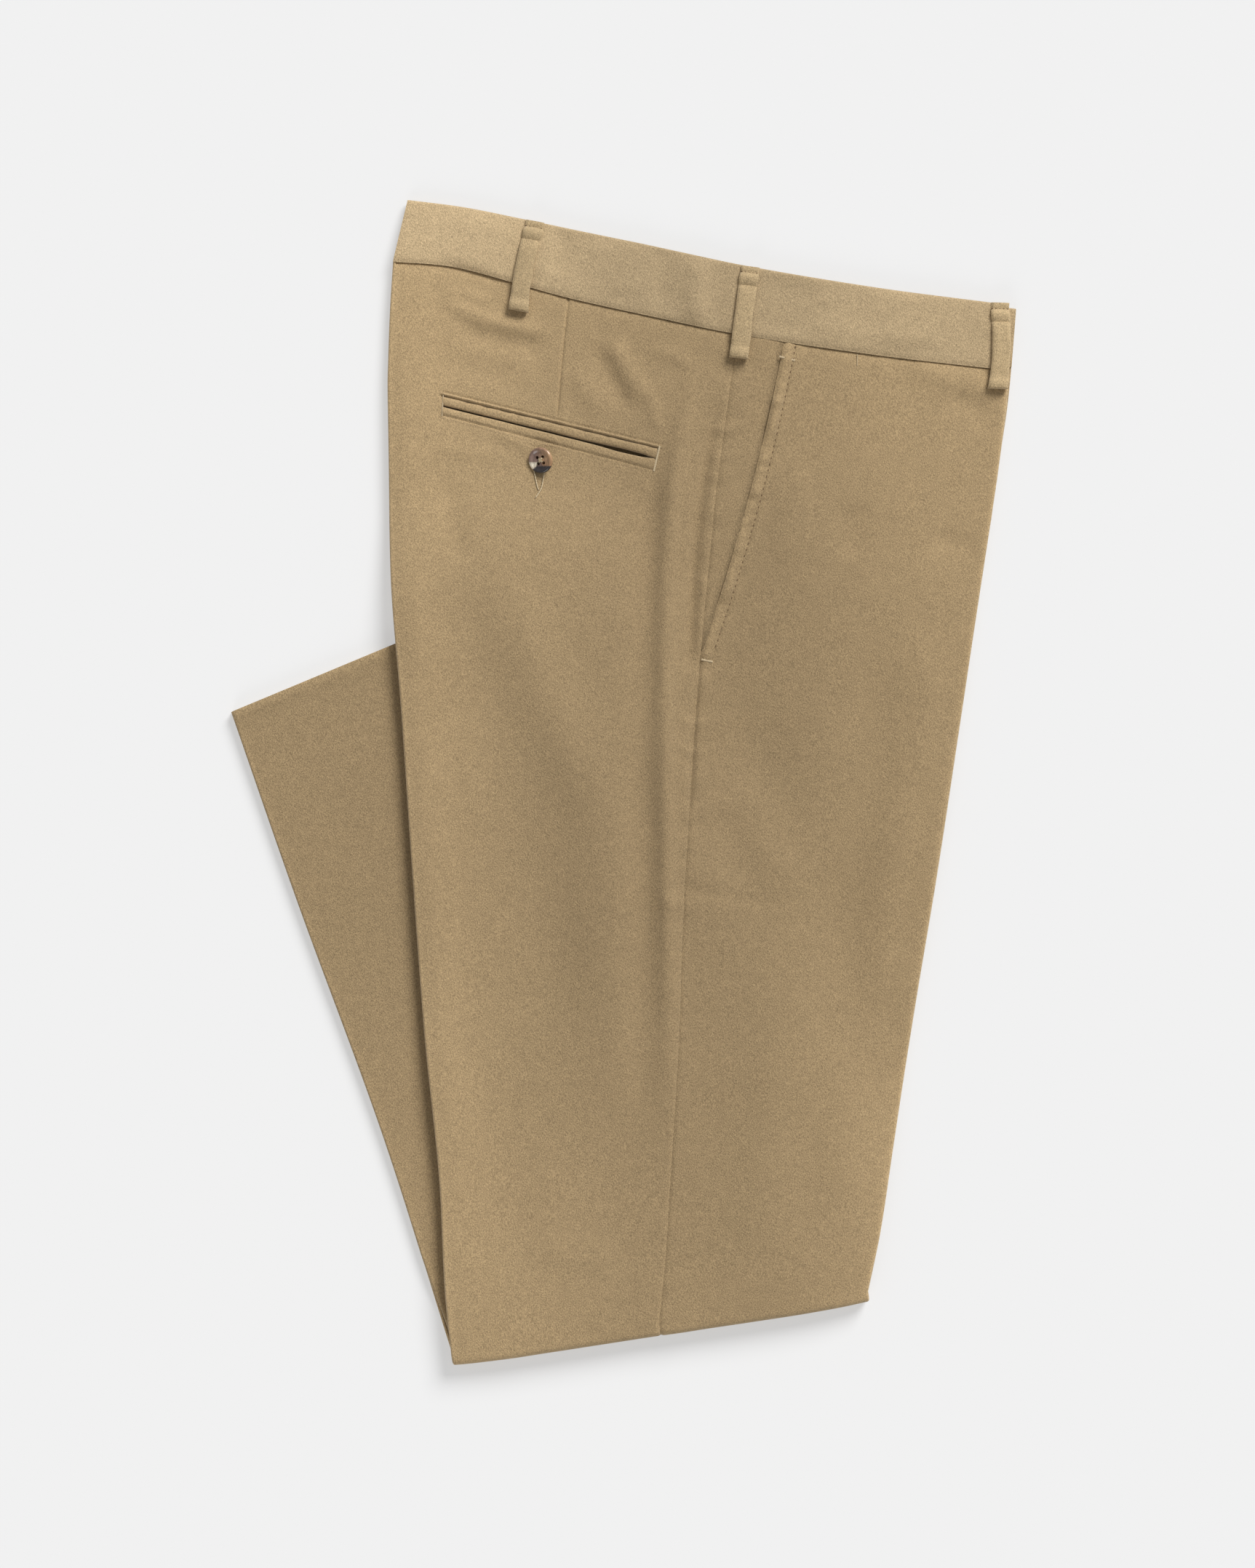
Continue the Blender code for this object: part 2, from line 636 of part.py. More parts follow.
def back_pocket_button():
    """A four-hole button, turned with a rim and a dished face, tilted on its thread."""
    bm = bmesh.new()
    points = [bm.verts.new(Vector((r, 0.0, z)) * MM) for r, z in BUTTON_PROFILE]
    edges = [bm.edges.new(pair) for pair in zip(points, points[1:])]
    bmesh.ops.spin(bm, geom=points + edges, cent=(0, 0, 0), axis=(0, 0, 1),
                   angle=2 * math.pi, steps=BUTTON_STEPS, use_merge=True)
    bmesh.ops.remove_doubles(bm, verts=bm.verts, dist=MERGE)
    place = Matrix.Translation(button_seat() * MM) @ button_turn()
    bmesh.ops.transform(bm, matrix=place, verts=bm.verts)
    button = finish(bm, "back_pocket_button", "horn")
    for i, (sx, sy) in enumerate(((-1, -1), (1, -1), (1, 1), (-1, 1))):
        drill = bmesh.new()
        bmesh.ops.create_cone(drill, cap_ends=True, segments=BUTTON_HOLE_STEPS,
                              radius1=BUTTON_HOLE_RADIUS * MM, radius2=BUTTON_HOLE_RADIUS * MM,
                              depth=BUTTON_RADIUS * MM)
        offset = Vector((sx, sy, 0.0)) * (BUTTON_HOLE_SPACING / 2 * MM)
        bmesh.ops.transform(drill, matrix=place @ Matrix.Translation(offset), verts=drill.verts)
        cutter = finish(drill, f"button_hole_cutter_{i}", "horn")
        cutter.hide_render = True
        cutter.display_type = "WIRE"
        cut = button.modifiers.new(f"hole {i}", "BOOLEAN")
        cut.object = cutter
        cut.operation = "DIFFERENCE"
    return button


def button_turn():
    tilt_x, tilt_y, turn_z = BUTTON_TILT
    return (Matrix.Rotation(tilt_y, 4, "Y") @ Matrix.Rotation(tilt_x, 4, "X")
            @ Matrix.Rotation(turn_z, 4, "Z"))


def button_seat():
    x, y = BUTTON_CENTRE
    return Vector((x, y, cloth_height(x, y) + BUTTON_LIFT))


def clear_scene():
    for thing in list(bpy.context.scene.objects):
        bpy.data.objects.remove(thing, do_unlink=True)


def make_materials():
    for name, look in FINISHES.items():
        material = bpy.data.materials.new(name)
        material.use_nodes = True
        shader = material.node_tree.nodes["Principled BSDF"]
        shader.inputs["Base Color"].default_value = (*look.colour, 1.0)
        shader.inputs["Roughness"].default_value = look.roughness
        shader.inputs["Metallic"].default_value = 0.0


def main():
    clear_scene()
    make_materials()
    thigh, knee, shin = make_rows()
    rows = thigh + knee + shin
    right_back_panel(rows)
    right_front_panel(rows)
    front_pocket_facing(thigh)
    left_back_panel(shin)
    inner_layers(thigh, knee, shin)
    waistbands()
    for loop in BELT_LOOPS:
        belt_loop(loop)
    back_pocket_welts()
    back_pocket_button()


main()
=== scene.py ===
"""Moleskin trousers, folded flat: cloth, sewing and button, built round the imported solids.

The trousers lie on their left side, folded in half lengthwise, the seat at -X and the fly at
+X, with the legs folded under once at the knee.  All cloth comes from the same few sections
across the leg as the solids.  Tables are in millimetres; MM turns them into metres.
"""
import math
from collections import namedtuple

import bmesh
import bpy
import numpy as np
from bpy.props import FloatProperty, FloatVectorProperty, PointerProperty
from mathutils import Matrix, Vector


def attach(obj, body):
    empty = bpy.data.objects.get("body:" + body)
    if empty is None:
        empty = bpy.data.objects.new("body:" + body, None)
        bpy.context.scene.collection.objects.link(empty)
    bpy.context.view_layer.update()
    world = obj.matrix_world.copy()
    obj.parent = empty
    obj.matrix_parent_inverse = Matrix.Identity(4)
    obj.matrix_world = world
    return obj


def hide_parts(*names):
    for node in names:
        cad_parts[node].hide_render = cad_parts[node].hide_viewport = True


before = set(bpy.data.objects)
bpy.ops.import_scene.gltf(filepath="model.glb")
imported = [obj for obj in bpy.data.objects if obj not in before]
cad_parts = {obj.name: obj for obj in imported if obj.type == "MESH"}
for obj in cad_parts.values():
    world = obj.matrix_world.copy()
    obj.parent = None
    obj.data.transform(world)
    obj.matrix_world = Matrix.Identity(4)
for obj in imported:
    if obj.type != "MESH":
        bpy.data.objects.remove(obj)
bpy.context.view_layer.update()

bl_info = {
    "name": "Folded moleskin trousers",
    "version": (1, 0, 0),
    "blender": (4, 5, 0),
    "location": "View3D > Sidebar > Trousers",
    "description": "Builds the cloth, sewing and button of a pair of folded moleskin trousers",
    "category": "Object",
}

MM = 0.001
MERGE = 0.000002                  # points this close are one, in metres

# Positions across the leg: the back edge, the side seam, just in front of it, the front edge.
BACK, SEAM, PAST_SEAM, FRONT = 0.0, 1.0, 1.000001, 2.0

Section = namedtuple("Section", "name back seam front spacing")

# Sections across the upper legs as they lie, with the spacing of the rows below each.
THIGH = (
    Section("waist", (-146.1, 329.1), (72.4, 283.0), (244.0, 260.1), 2.0),
    Section("hip", (-148.1, 296.7), (67.4, 249.3), (241.3, 230.0), 2.0),
    Section("above mouth", (-149.4, 258.0), (61.6, 207.1), (236.3, 191.6), 0.5),
    Section("mouth top", (-149.5, 252.4), (60.8, 201.4), (235.5, 186.2), 1.5),
    Section("mouth foot", (-149.4, 240.8), (58.9, 186.8), (233.5, 172.8), 0.7),
    Section("under mouth", (-149.3, 235.2), (58.3, 181.1), (232.8, 167.6), 2.0),
    Section("seat", (-149.0, 218.5), (57.4, 172.6), (231.6, 160.1), 2.2),
    Section("pocket end", (-147.2, 128.8), (49.0, 83.8), (221.5, 94.3), 2.2),
    Section("crotch", (-141.0, 50.6), (43.5, 11.5), (211.4, 27.6), 2.8),
    Section("mid thigh", (-133.4, -59.8), (38.0, -78.2), (198.0, -59.8), 4.0),
    Section("low thigh", (-125.8, -161.0), (34.7, -167.9), (184.2, -142.6), 4.5),
    Section("above knee", (-116.6, -250.7), (29.9, -246.1), (170.2, -232.3), 4.5),
    Section("knee", (-113.2, -319.7), (26.2, -303.6), (162.2, -283.8), 3.5),
    Section("fold", (-109.0, -362.0), (22.3, -341.8), (154.3, -321.8), 3.5),
)

# Sections across the lower legs, folded under.
SHIN = (
    Section("fold", (-109.0, -362.0), (22.3, -341.8), (154.3, -321.8), 7.0),
    Section("calf", (-153.0, -223.1), (-30.6, -195.5), (82.6, -170.2), 7.0),
    Section("ankle", (-206.8, -75.9), (-91.3, -38.6), (5.3, -7.8), 6.0),
    Section("hem", (-248.6, 44.2), (-141.5, 88.8), (-57.3, 124.2), 6.0),
)

WaistPoint = namedtuple("WaistPoint", "seam top spacing")

# The waistband from the centre back to the fly: its lower seam and its upper edge.
WAIST = (
    WaistPoint((-146.1, 328.9), (-136.8, 368.57), 3.0),
    WaistPoint((-109.2, 325.7), (-100.1, 363.6), 3.0),
    WaistPoint((-71.5, 316.0), (-62.3, 356.0), 3.0),
    WaistPoint((-37.0, 306.4), (-29.7, 349.1), 3.0),
    WaistPoint((10.3, 295.8), (16.3, 339.6), 3.0),
    WaistPoint((69.7, 283.4), (73.8, 327.3), 3.0),
    WaistPoint((157.6, 270.0), (158.9, 313.0), 3.0),
    WaistPoint((244.0, 260.1), (243.6, 302.0), 3.0),
)
LEFT_BAND_END = ((245.4, 259.9), (248.7, 301.5))   # left half's end at the fly

Fold = namedtuple("Fold", "name path half_width height")

# Soft folds of the upper cloth, by plan points; a trough has a negative height.
FOLDS = (
    Fold("side ridge", ((49, 272), (39, 234), (30, 180), (27, 120), (26, 60), (26, 0), (27, -70),
                        (28, -150), (27, -250)), 6.5, 3.8),
    Fold("side trough", ((22, 216), (15, 160), (11, 60), (11, -60), (11, -160), (10, -250)),
         9, -2.0),
    Fold("opening valley", ((60, 252), (52, 205), (46.5, 165), (43.5, 128), (42, 90), (40, 60)),
         3.8, -2.8),
    Fold("seam valley", ((47.5, 84), (43.5, 30), (41.5, -30)), 2.8, -1.5),
    Fold("seat ridge", ((-99, 192), (-75, 125), (-53, 62), (-34, 22), (-16, -18), (-12, -80),
                        (-11, -150), (-8, -230)), 22, 3.8),
    Fold("seat valley", ((-108, 130), (-90, 60), (-72, 0), (-58, -80), (-50, -170)), 30, -1.8),
    Fold("seat swell", ((-14, 70), (-2, -20), (2, -130), (0, -250)), 52, 2.6),
    Fold("seat hollow", ((-112, 90), (-108, 0), (-100, -110), (-92, -220)), 36, -2.2),
    Fold("back ridge", ((-134, 420), (-138, 300), (-140, 190), (-136, 90), (-130, 0), (-124, -80),
                        (-118, -160), (-108, -290), (-100, -420)), 17, 3),
    Fold("hip drag", ((-120, 308), (-95, 295), (-70, 287.5), (-40, 282)), 5, 1.9),
    Fold("hip fall", ((-108, 286), (-78, 278), (-44, 275)), 7, -1.5),
    Fold("band drag", ((-118, 313.5), (-97, 307), (-80, 303)), 3.5, 0.9),
    Fold("back pull", ((-125, 268), (-95, 260), (-62, 258)), 10, -1.2),
    Fold("dart pull", ((-11, 283), (2, 259), (13, 236)), 6, 2.1),
    Fold("dart fall", ((-24, 280), (-8, 255), (3, 233)), 6, -1.4),
    Fold("dart crest", ((-36, 264), (-24, 247), (-13, 232)), 6, 1.1),
    Fold("pocket pull", ((8, 262), (17, 240), (22.5, 217)), 4, 1.1),
    Fold("band pull", ((16, 274), (31, 269), (46, 261)), 4.5, 1),
    Fold("back dimple", ((-112, 198), (-108, 165), (-103, 136)), 8, -1.3),
    Fold("button pull", ((-84, 222), (-64, 213), (-56, 207)), 3.5, 1),
    Fold("button drag", ((-120, 214), (-96, 208), (-66, 205)), 5, 0.8),
    Fold("fly pull", ((178, 266), (208, 254), (238, 247)), 8, 1.6),
    Fold("fly fall", ((205, 246), (222, 236), (238, 222)), 9, -1.3),
    Fold("front crest", ((188, 140), (187, 50), (176, -15), (163, -110), (160, -180)), 16, 1.7),
    Fold("front valley", ((158, 125), (160, 40), (150, -40), (138, -110), (132, -200)), 22, -2.1),
    Fold("front swell", ((194, 118), (190, 20), (180, -80), (172, -200)), 36, 1.5),
    Fold("front hollow", ((106, 50), (100, -25), (94, -100), (90, -190)), 32, -1.5),
    Fold("front pull", ((78, 8), (87, -40), (114, -76)), 13, 1.5),
    Fold("front fall", ((58, -12), (68, -45), (92, -84)), 15, -1.4),
    Fold("front dimple", ((140, 178), (145, 158), (138, 140)), 10, -1.2),
    Fold("opening crest", ((113, 205), (108, 165), (98, 130)), 10, 1),
    Fold("fly dimple", ((192, 158), (210, 150), (228, 147)), 9, -1.2),
    Fold("edge crest", ((205, 40), (199, -20), (188, -110), (170, -220)), 9, 1.2),
    Fold("cross pull", ((28, -64), (58, -71), (104, -80)), 3.2, -0.8),
    Fold("cross crest", ((20, -72), (33, -77), (48, -80)), 4, 1),
    Fold("shin crest", ((92, -150), (86, -230), (80, -310)), 16, 1.3),
    Fold("shin fall", ((128, -170), (118, -240), (112, -300)), 14, -1.2),
    Fold("calf fall", ((-80, -180), (-74, -240), (-70, -310)), 18, -1.2),
    Fold("hem pull", ((-60, -290), (-30, -300), (0, -296)), 9, 0.8),
)

# Unevenness of the waistband, across it.
BAND_FOLDS = (
    Fold("side bulge", ((46, 336), (45, 310), (46, 288)), 8, 2.6),
    Fold("side hollow", ((64, 332), (60, 308), (58, 284)), 6, -1.2),
    Fold("back bulge", ((-84, 362), (-90, 340), (-98, 320)), 20, 1.9),
    Fold("loop bulge", ((-46, 348), (-52, 332), (-56, 318)), 6, 1.1),
    Fold("dart hollow", ((-36, 350), (-38, 335), (-42, 318)), 7, -1.4),
    Fold("middle bulge", ((-4, 344), (-3, 325), (-2, 305)), 14, 1.2),
    Fold("middle hollow", ((25, 340), (24, 320), (22, 300)), 6, -1.2),
    Fold("front hollow", ((104, 322), (103, 300), (101, 280)), 16, -1.5),
    Fold("front bulge", ((182, 312), (181, 295), (180, 270)), 20, 1.6),
    Fold("seam roll", ((90, 292), (150, 283), (215, 275)), 6, 0.7),
)
FOLD_TAPER = 0.25                 # part of a fold's length over which each end dies out
FOLD_STEPS = 4                    # straight pieces between two points of a fold's path
FOLD_REACH = 2.6                  # a fold has died out this many half widths from its path

CREASE_LIMIT = math.radians(50.0)  # sharper edges than this are rounded
DIP_RUN = 75.0                    # rows follow the dip of the waist seam down to here

SLANT_TOP = (101.0, 277.4)        # slant pocket opening at the waist seam
SLANT_END = (49.5, 83.7)          # and where it runs into the side seam
SLANT_BOW = 3.8                   # its middle bows this far forward
SLANT_ROUNDS = 20

MOUTH_UPPER = ((-113.9, 243.8), (20.9, 211.1))
MOUTH_LOWER = ((-114.3, 231.7), (18.2, 197.3))
SLIT_LINE = ((-113.9, 237.6), (19.6, 204.6))
BUTTON_CENTRE = (-51.9, 203.3)


class ClothSizes(bpy.types.PropertyGroup):
    """Thicknesses and folds of the cloth."""

    wall: FloatProperty(name="Cloth", description="Thickness of moleskin with its turnings",
                        default=1.4 * MM, unit="LENGTH", precision=4)
    gap: FloatProperty(name="Gap", description="Room between layers and at seams",
                       default=0.3 * MM, unit="LENGTH", precision=4)
    crown: FloatProperty(name="Crown", description="Air between the layers",
                         default=1.5 * MM, unit="LENGTH", precision=4)
    fold_depth: FloatProperty(name="Fold depth", description="Depth of the folds, 1 as laid",
                              default=1.0, min=0.0, max=2.0)
    colour: FloatVectorProperty(name="Moleskin", description="Colour of the cloth",
                                default=(0.316, 0.225, 0.121), subtype="COLOR", size=3)
    thread: FloatVectorProperty(name="Thread", description="Colour of the seams' thread",
                                default=(0.16, 0.10, 0.05), subtype="COLOR", size=3)
    tack: FloatVectorProperty(name="Bar tacks", description="Colour of the bar tacks",
                              default=(0.54, 0.43, 0.27), subtype="COLOR", size=3)


class ButtonSizes(bpy.types.PropertyGroup):
    """The back pocket's button."""

    radius: FloatProperty(name="Radius", description="Radius of the button",
                          default=8.25 * MM, unit="LENGTH", precision=4)
    hole: FloatProperty(name="Hole", description="Radius of each of its four holes",
                        default=1.05 * MM, unit="LENGTH", precision=4)
    spacing: FloatProperty(name="Hole spacing", description="Between neighbouring holes",
                           default=3.8 * MM, unit="LENGTH", precision=4)


class StageLook(bpy.types.PropertyGroup):
    """Floor, light and camera."""

    floor: FloatVectorProperty(name="Floor", description="Colour of the floor",
                               default=(0.40, 0.40, 0.40), subtype="COLOR", size=3)
    glow: FloatProperty(name="Floor glow", description="Light of the lit table under the floor",
                        default=0.441, min=0.0)
    key: FloatProperty(name="Key light", description="Strength of the soft light past the waist",
                       default=3.62, min=0.0)
    softness: FloatProperty(name="Softness", description="Width of the key light as seen",
                            default=math.radians(28.0), min=0.0, subtype="ANGLE")
    sky: FloatProperty(name="Sky", description="Strength of the even light all round",
                       default=0.315, min=0.0)
    fill: FloatProperty(name="Fill light", description="Strength of the soft light past the knee",
                        default=0.62, min=0.0)
    lens: FloatProperty(name="Lens", description="Focal length of the camera",
                        default=100.0, min=1.0, unit="CAMERA")


def ease(t):
    """Smooth step from 0 to 1."""
    t = np.clip(t, 0.0, 1.0)
    return t * t * (3.0 - 2.0 * t)


def smooth_rows(table, columns):
    """Plan points on smooth curves through a table's sections, at the table's spacing."""
    ends = np.array([[getattr(section, column) for column in columns] for section in table])
    legs = np.linalg.norm(np.diff(ends, axis=0), axis=2).mean(axis=1)
    knots = np.concatenate([[0.0], np.cumsum(legs)])
    last = len(table) - 1
    slopes = np.array([(ends[min(i + 1, last)] - ends[max(i - 1, 0)])
                       / (knots[min(i + 1, last)] - knots[max(i - 1, 0)])
                       for i in range(len(table))])
    result = []
    for i, leg in enumerate(legs):
        steps = max(1, round(leg / table[i].spacing))
        t = (np.arange(steps) / steps)[:, None, None]
        result.append(ends[i] * (2 * t**3 - 3 * t**2 + 1) + ends[i + 1] * (3 * t**2 - 2 * t**3)
                      + slopes[i] * leg * (t**3 - 2 * t**2 + t)
                      + slopes[i + 1] * leg * (t**3 - t**2))
    return np.concatenate(result + [ends[-1:]])


THIGH_ROWS = smooth_rows(THIGH, ("back", "seam", "front"))
SHIN_ROWS = smooth_rows(SHIN, ("back", "seam", "front"))
WAIST_LINE = smooth_rows(WAIST, ("seam", "top"))
BACK_EDGE = np.concatenate([WAIST_LINE[:1, 1], THIGH_ROWS[:, 0]])[::-1]
FRONT_EDGE = np.concatenate([WAIST_LINE[-1:, 1], THIGH_ROWS[:, 2]])[::-1]


def slant_x(y):
    """X of the slant pocket opening at the height y."""
    t = (y - SLANT_END[1]) / (SLANT_TOP[1] - SLANT_END[1])
    return SLANT_END[0] + (SLANT_TOP[0] - SLANT_END[0]) * t + 4 * SLANT_BOW * t * (1 - t)


def soft_path(path):
    """A smooth line through a fold's few points."""
    path = np.array(path)
    padded = np.concatenate([[2 * path[0] - path[1]], path, [2 * path[-1] - path[-2]]])
    result = []
    for a, b, c, d in zip(padded, padded[1:], padded[2:], padded[3:]):
        t = (np.arange(FOLD_STEPS) / FOLD_STEPS)[:, None]
        result.append(b + (c - a) * t / 2 + (2 * a - 5 * b + 4 * c - d) * t**2 / 2
                      + (3 * b - 3 * c + d - a) * t**3 / 2)
    return np.concatenate(result + [path[-1:]])


def fold_height(fold, points):
    """Height that one soft fold adds at plan points."""
    path = soft_path(fold.path)
    reach = FOLD_REACH * fold.half_width
    after, before = points > path.min(axis=0) - reach, points < path.max(axis=0) + reach
    near = np.all(after & before, axis=-1)
    local = points[near]
    nearest = np.full(len(local), np.inf)
    along = np.zeros(len(local))
    for i, (start, end) in enumerate(zip(path, path[1:])):
        run = end - start
        t = np.clip((local - start) @ run / (run @ run), 0.0, 1.0)
        distance = np.linalg.norm(local - start - t[:, None] * run, axis=-1)
        closer = distance < nearest
        nearest = np.where(closer, distance, nearest)
        along = np.where(closer, (i + t) / (len(path) - 1), along)
    taper = ease(along / FOLD_TAPER) * ease((1.0 - along) / FOLD_TAPER)
    height = np.zeros(points.shape[:-1])
    height[near] = fold.height * taper * np.exp(-(nearest / fold.half_width) ** 2)
    return height


def gathers(run, pitch, seed):
    """Soft random unevenness from -1 to 1 along a line."""
    marks = np.random.default_rng(seed).uniform(-1.0, 1.0, 256)
    cell = run / pitch
    base = np.floor(cell).astype(int)
    t = ease(cell - base)
    return marks[base % 256] * (1 - t) + marks[(base + 1) % 256] * t


def uneven(points, size, seed):
    """Soft random unevenness from -1 to 1 over plan points, its features about size across."""
    lattice = np.random.default_rng(seed).uniform(-1.0, 1.0, (64, 64))
    cell = points / size
    base = np.floor(cell).astype(int)
    x, y = np.moveaxis(ease(cell - base), -1, 0)

    def corner(right, up):
        return lattice[(base[..., 0] + right) % 64, (base[..., 1] + up) % 64]

    low = corner(0, 0) * (1 - x) + corner(1, 0) * x
    high = corner(0, 1) * (1 - x) + corner(1, 1) * x
    return low * (1 - y) + high * y


class FoldedCloth:
    """Heights and layers of the folded trousers, in millimetres."""

    # The hidden layers' body: how far it stays in from a crease, its notch between two
    # layers, and the step at the slant pocket.
    core_rim, core_notch, core_step = 4.0, 1.0, 0.2
    crown_width = 45.0                # the air between the layers dies out over this
    creep, creep_run = 2.9, 75.0      # inner layers stay back near the knee fold
    drape_margin, drape_width = 12.0, 80.0   # how the thigh comes down beside the lower legs
    band_rise, band_fall, back_fall = 1.0, 1.1, 1.3   # waistband over the panels, falls of its top
    band_drop = 1.6                   # the left half stays this far under the right one's edge
    lip, lip_width, lip_fade = 1.9, 16.0, 30.0   # raised edge of the slant pocket
    left_peek, left_peek_run = 1.4, 70.0   # how far the left front shows past the right one
    brushed_rise, brushed_size = 0.4, 46.0   # wide unevenness of the cloth
    rumple_rise, rumple_size = 0.16, 17.0    # and narrower one
    back_fall_from, back_fall_run = 20.0, 120.0

    def __init__(self):
        sizes = bpy.context.scene.trouser_cloth
        self.sizes = sizes
        self.wall = sizes.wall / MM
        self.gap = sizes.gap / MM
        self.crown_height = sizes.crown / MM
        self.ply = 2 * self.wall + self.gap
        self.stack = 2 * self.ply + self.gap
        self.crease = self.ply / 2
        self.bore = self.gap / 2
        self.core_depth = self.wall + 2 * self.gap
        self.core_inset = self.crease + self.gap

    def crown(self, points):
        """Thickness that the air between the layers adds."""
        x, y = points[..., 0], points[..., 1]
        from_back = x - np.interp(y, BACK_EDGE[:, 1], BACK_EDGE[:, 0])
        from_front = np.interp(y, FRONT_EDGE[:, 1], FRONT_EDGE[:, 0]) - x
        inside = np.clip(np.minimum(from_back, from_front) / self.crown_width, 0.0, 1.0)
        return self.crown_height * np.sin(math.pi / 2 * inside)

    def lift(self, points):
        """How high the upper legs are carried by the lower legs under them."""
        hem, start = SHIN[-1], SHIN[0]

        def past(start, end):
            run = np.array(end) - np.array(start)
            offset = points - np.array(start)
            return (run[0] * offset[..., 1] - run[1] * offset[..., 0]) / math.hypot(*run)

        past_hem = np.maximum(past(hem.back, hem.front), 0.0)
        past_shin = np.maximum(-past(start.front, hem.front), 0.0)
        away = np.hypot(past_hem, past_shin)
        held = 1.0 - ease((away - self.drape_margin) / self.drape_width)
        return (self.stack + self.crown(points) + 2 * self.gap) * held

    def relief(self, points):
        """Height of the folds at plan points."""
        folds = sum(fold_height(fold, points) for fold in FOLDS)
        mottle = (self.brushed_rise * uneven(points, self.brushed_size, 3)
                  + self.rumple_rise * uneven(points, self.rumple_size, 4))
        inside = ease(2 * self.crown(points) / self.crown_height)
        folds = np.where(folds < 0.0, folds * inside, folds)
        return folds * self.sizes.fold_depth + mottle * inside

    def height(self, points):
        """Height of the right leg's outside over the table, on the upper legs."""
        return self.stack + self.crown(points) + self.lift(points) + self.relief(points)

    def band_height(self, points):
        """Height of the waistband's face, which falls towards its upper edge."""
        folds = sum(fold_height(fold, points) for fold in BAND_FOLDS)
        x, y = points[..., 0], points[..., 1]
        seam, top = (np.interp(x, WAIST_LINE[:, i, 0], WAIST_LINE[:, i, 1]) for i in range(2))
        share = np.clip((y - seam) / (top - seam), 0.0, 1.0)
        behind = ease((self.back_fall_from - x) / self.back_fall_run)
        fall = (self.band_fall + self.back_fall * behind) * share**2
        return self.height(points) + self.band_rise + folds * self.sizes.fold_depth - fall

    def lower_stack(self, points):
        """Top of the folded lower legs."""
        return self.stack + self.crown(points)

    def front_lip(self, points):
        """Rise of the front panel along the slant pocket opening."""
        x, y = points[..., 0], points[..., 1]
        near = 1.0 - ease((x - slant_x(y)) / self.lip_width)
        return self.lip * near * ease((y - SLANT_END[1]) / self.lip_fade + 0.5)

    def roll(self, radius, inset, depth, steps=8):
        """Insets and depths of points round a pressed crease, from upper to lower side."""
        angles = np.linspace(0.0, math.pi, steps + 1)
        return inset - radius * np.sin(angles), depth - radius * np.cos(angles)


def section(name):
    """The section of the upper legs that bears a name."""
    return next(section for section in THIGH if section.name == name)


def waist_dip(x, first):
    """How far the waist seam leaves the straight lines of the first row."""
    seam_x, seam_y = WAIST_LINE[:, 0, 0], WAIST_LINE[:, 0, 1]
    x = np.clip(x, seam_x[0], seam_x[-1])
    return np.interp(x, seam_x, seam_y) - np.interp(x, first[:, 0], first[:, 1])


FOLD_SQUARE = 0.66                # the knee fold is pressed squarer than a half cylinder, at 1
UNDERNEATH = 3.1                  # rows turned further than this lie on the underside


class Rows:
    """Lines across the leg, one after another down it, held as arrays."""

    def __init__(self, cloth, ends, turn, to_fold, from_waist):
        self.cloth = cloth
        self.ends = ends
        self.turn = turn
        self.to_fold = to_fold
        self.dip = 1.0 - ease(from_waist / DIP_RUN)
        self.peek = cloth.left_peek * (1.0 - ease(from_waist / cloth.left_peek_run))
        self.creep = cloth.creep * (1.0 - ease(to_fold / cloth.creep_run))
        along = THIGH_ROWS[-1, 2] - THIGH_ROWS[-1, 0]
        self.down = np.array([along[1], -along[0]]) / np.linalg.norm(along)

    def __getitem__(self, which):
        part = object.__new__(Rows)
        part.__dict__ = dict(self.__dict__)
        for name in ("ends", "turn", "to_fold", "dip", "peek", "creep"):
            setattr(part, name, getattr(self, name)[which])
        return part

    def __len__(self):
        return len(self.turn)

    def widths(self):
        """Widths from the back edge to the side seam and from there to the front edge."""
        steps = np.linalg.norm(np.diff(self.ends, axis=1), axis=2)
        return steps[:, 0], steps[:, 1]

    def plan(self, across, shift=0.0):
        """Plan points at positions across, shifted some millimetres towards the front."""
        across = np.asarray(across, float)
        across, shift = np.broadcast_arrays(across, np.asarray(shift, float))
        across = np.broadcast_to(across, (len(self), across.shape[-1]))
        behind = (across <= SEAM)[..., None]
        start = np.where(behind, self.ends[:, None, 0], self.ends[:, None, 1])
        end = np.where(behind, self.ends[:, None, 1], self.ends[:, None, 2])
        t = np.where(across <= SEAM, across, across - SEAM)[..., None]
        run = end - start
        unit = run / np.linalg.norm(run, axis=-1, keepdims=True)
        points = start + run * t + unit * np.broadcast_to(shift, across.shape)[..., None]
        points[..., 1] += self.dip[:, None] * waist_dip(points[..., 0], THIGH_ROWS[0])
        return points

    def place(self, points, depth):
        """Points at some depth under the right leg's outside, round the knee fold too."""
        radius = self.cloth.height(points) / 2
        reach = radius - depth
        out = np.abs(np.sin(self.turn))[:, None] ** FOLD_SQUARE
        up = (np.sign(np.cos(self.turn)) * np.abs(np.cos(self.turn)) ** FOLD_SQUARE)[:, None]
        flat = points + self.down * (reach * out)[..., None]
        return np.concatenate([flat, (radius + reach * up)[..., None]], axis=-1)

    def front_start(self):
        """Where the front panel begins: at the slant pocket opening or at the side seam."""
        on_slant = (self.turn == 0.0) & (self.ends[:, 1, 1] > SLANT_END[1])
        across = np.full(len(self), PAST_SEAM)
        for _ in range(SLANT_ROUNDS):
            y = self.plan(across[:, None])[:, 0, 1]
            t = (slant_x(y) - self.ends[:, 1, 0]) / (self.ends[:, 2, 0] - self.ends[:, 1, 0])
            across = np.where(on_slant, np.maximum(SEAM + t, PAST_SEAM), PAST_SEAM)
        return across


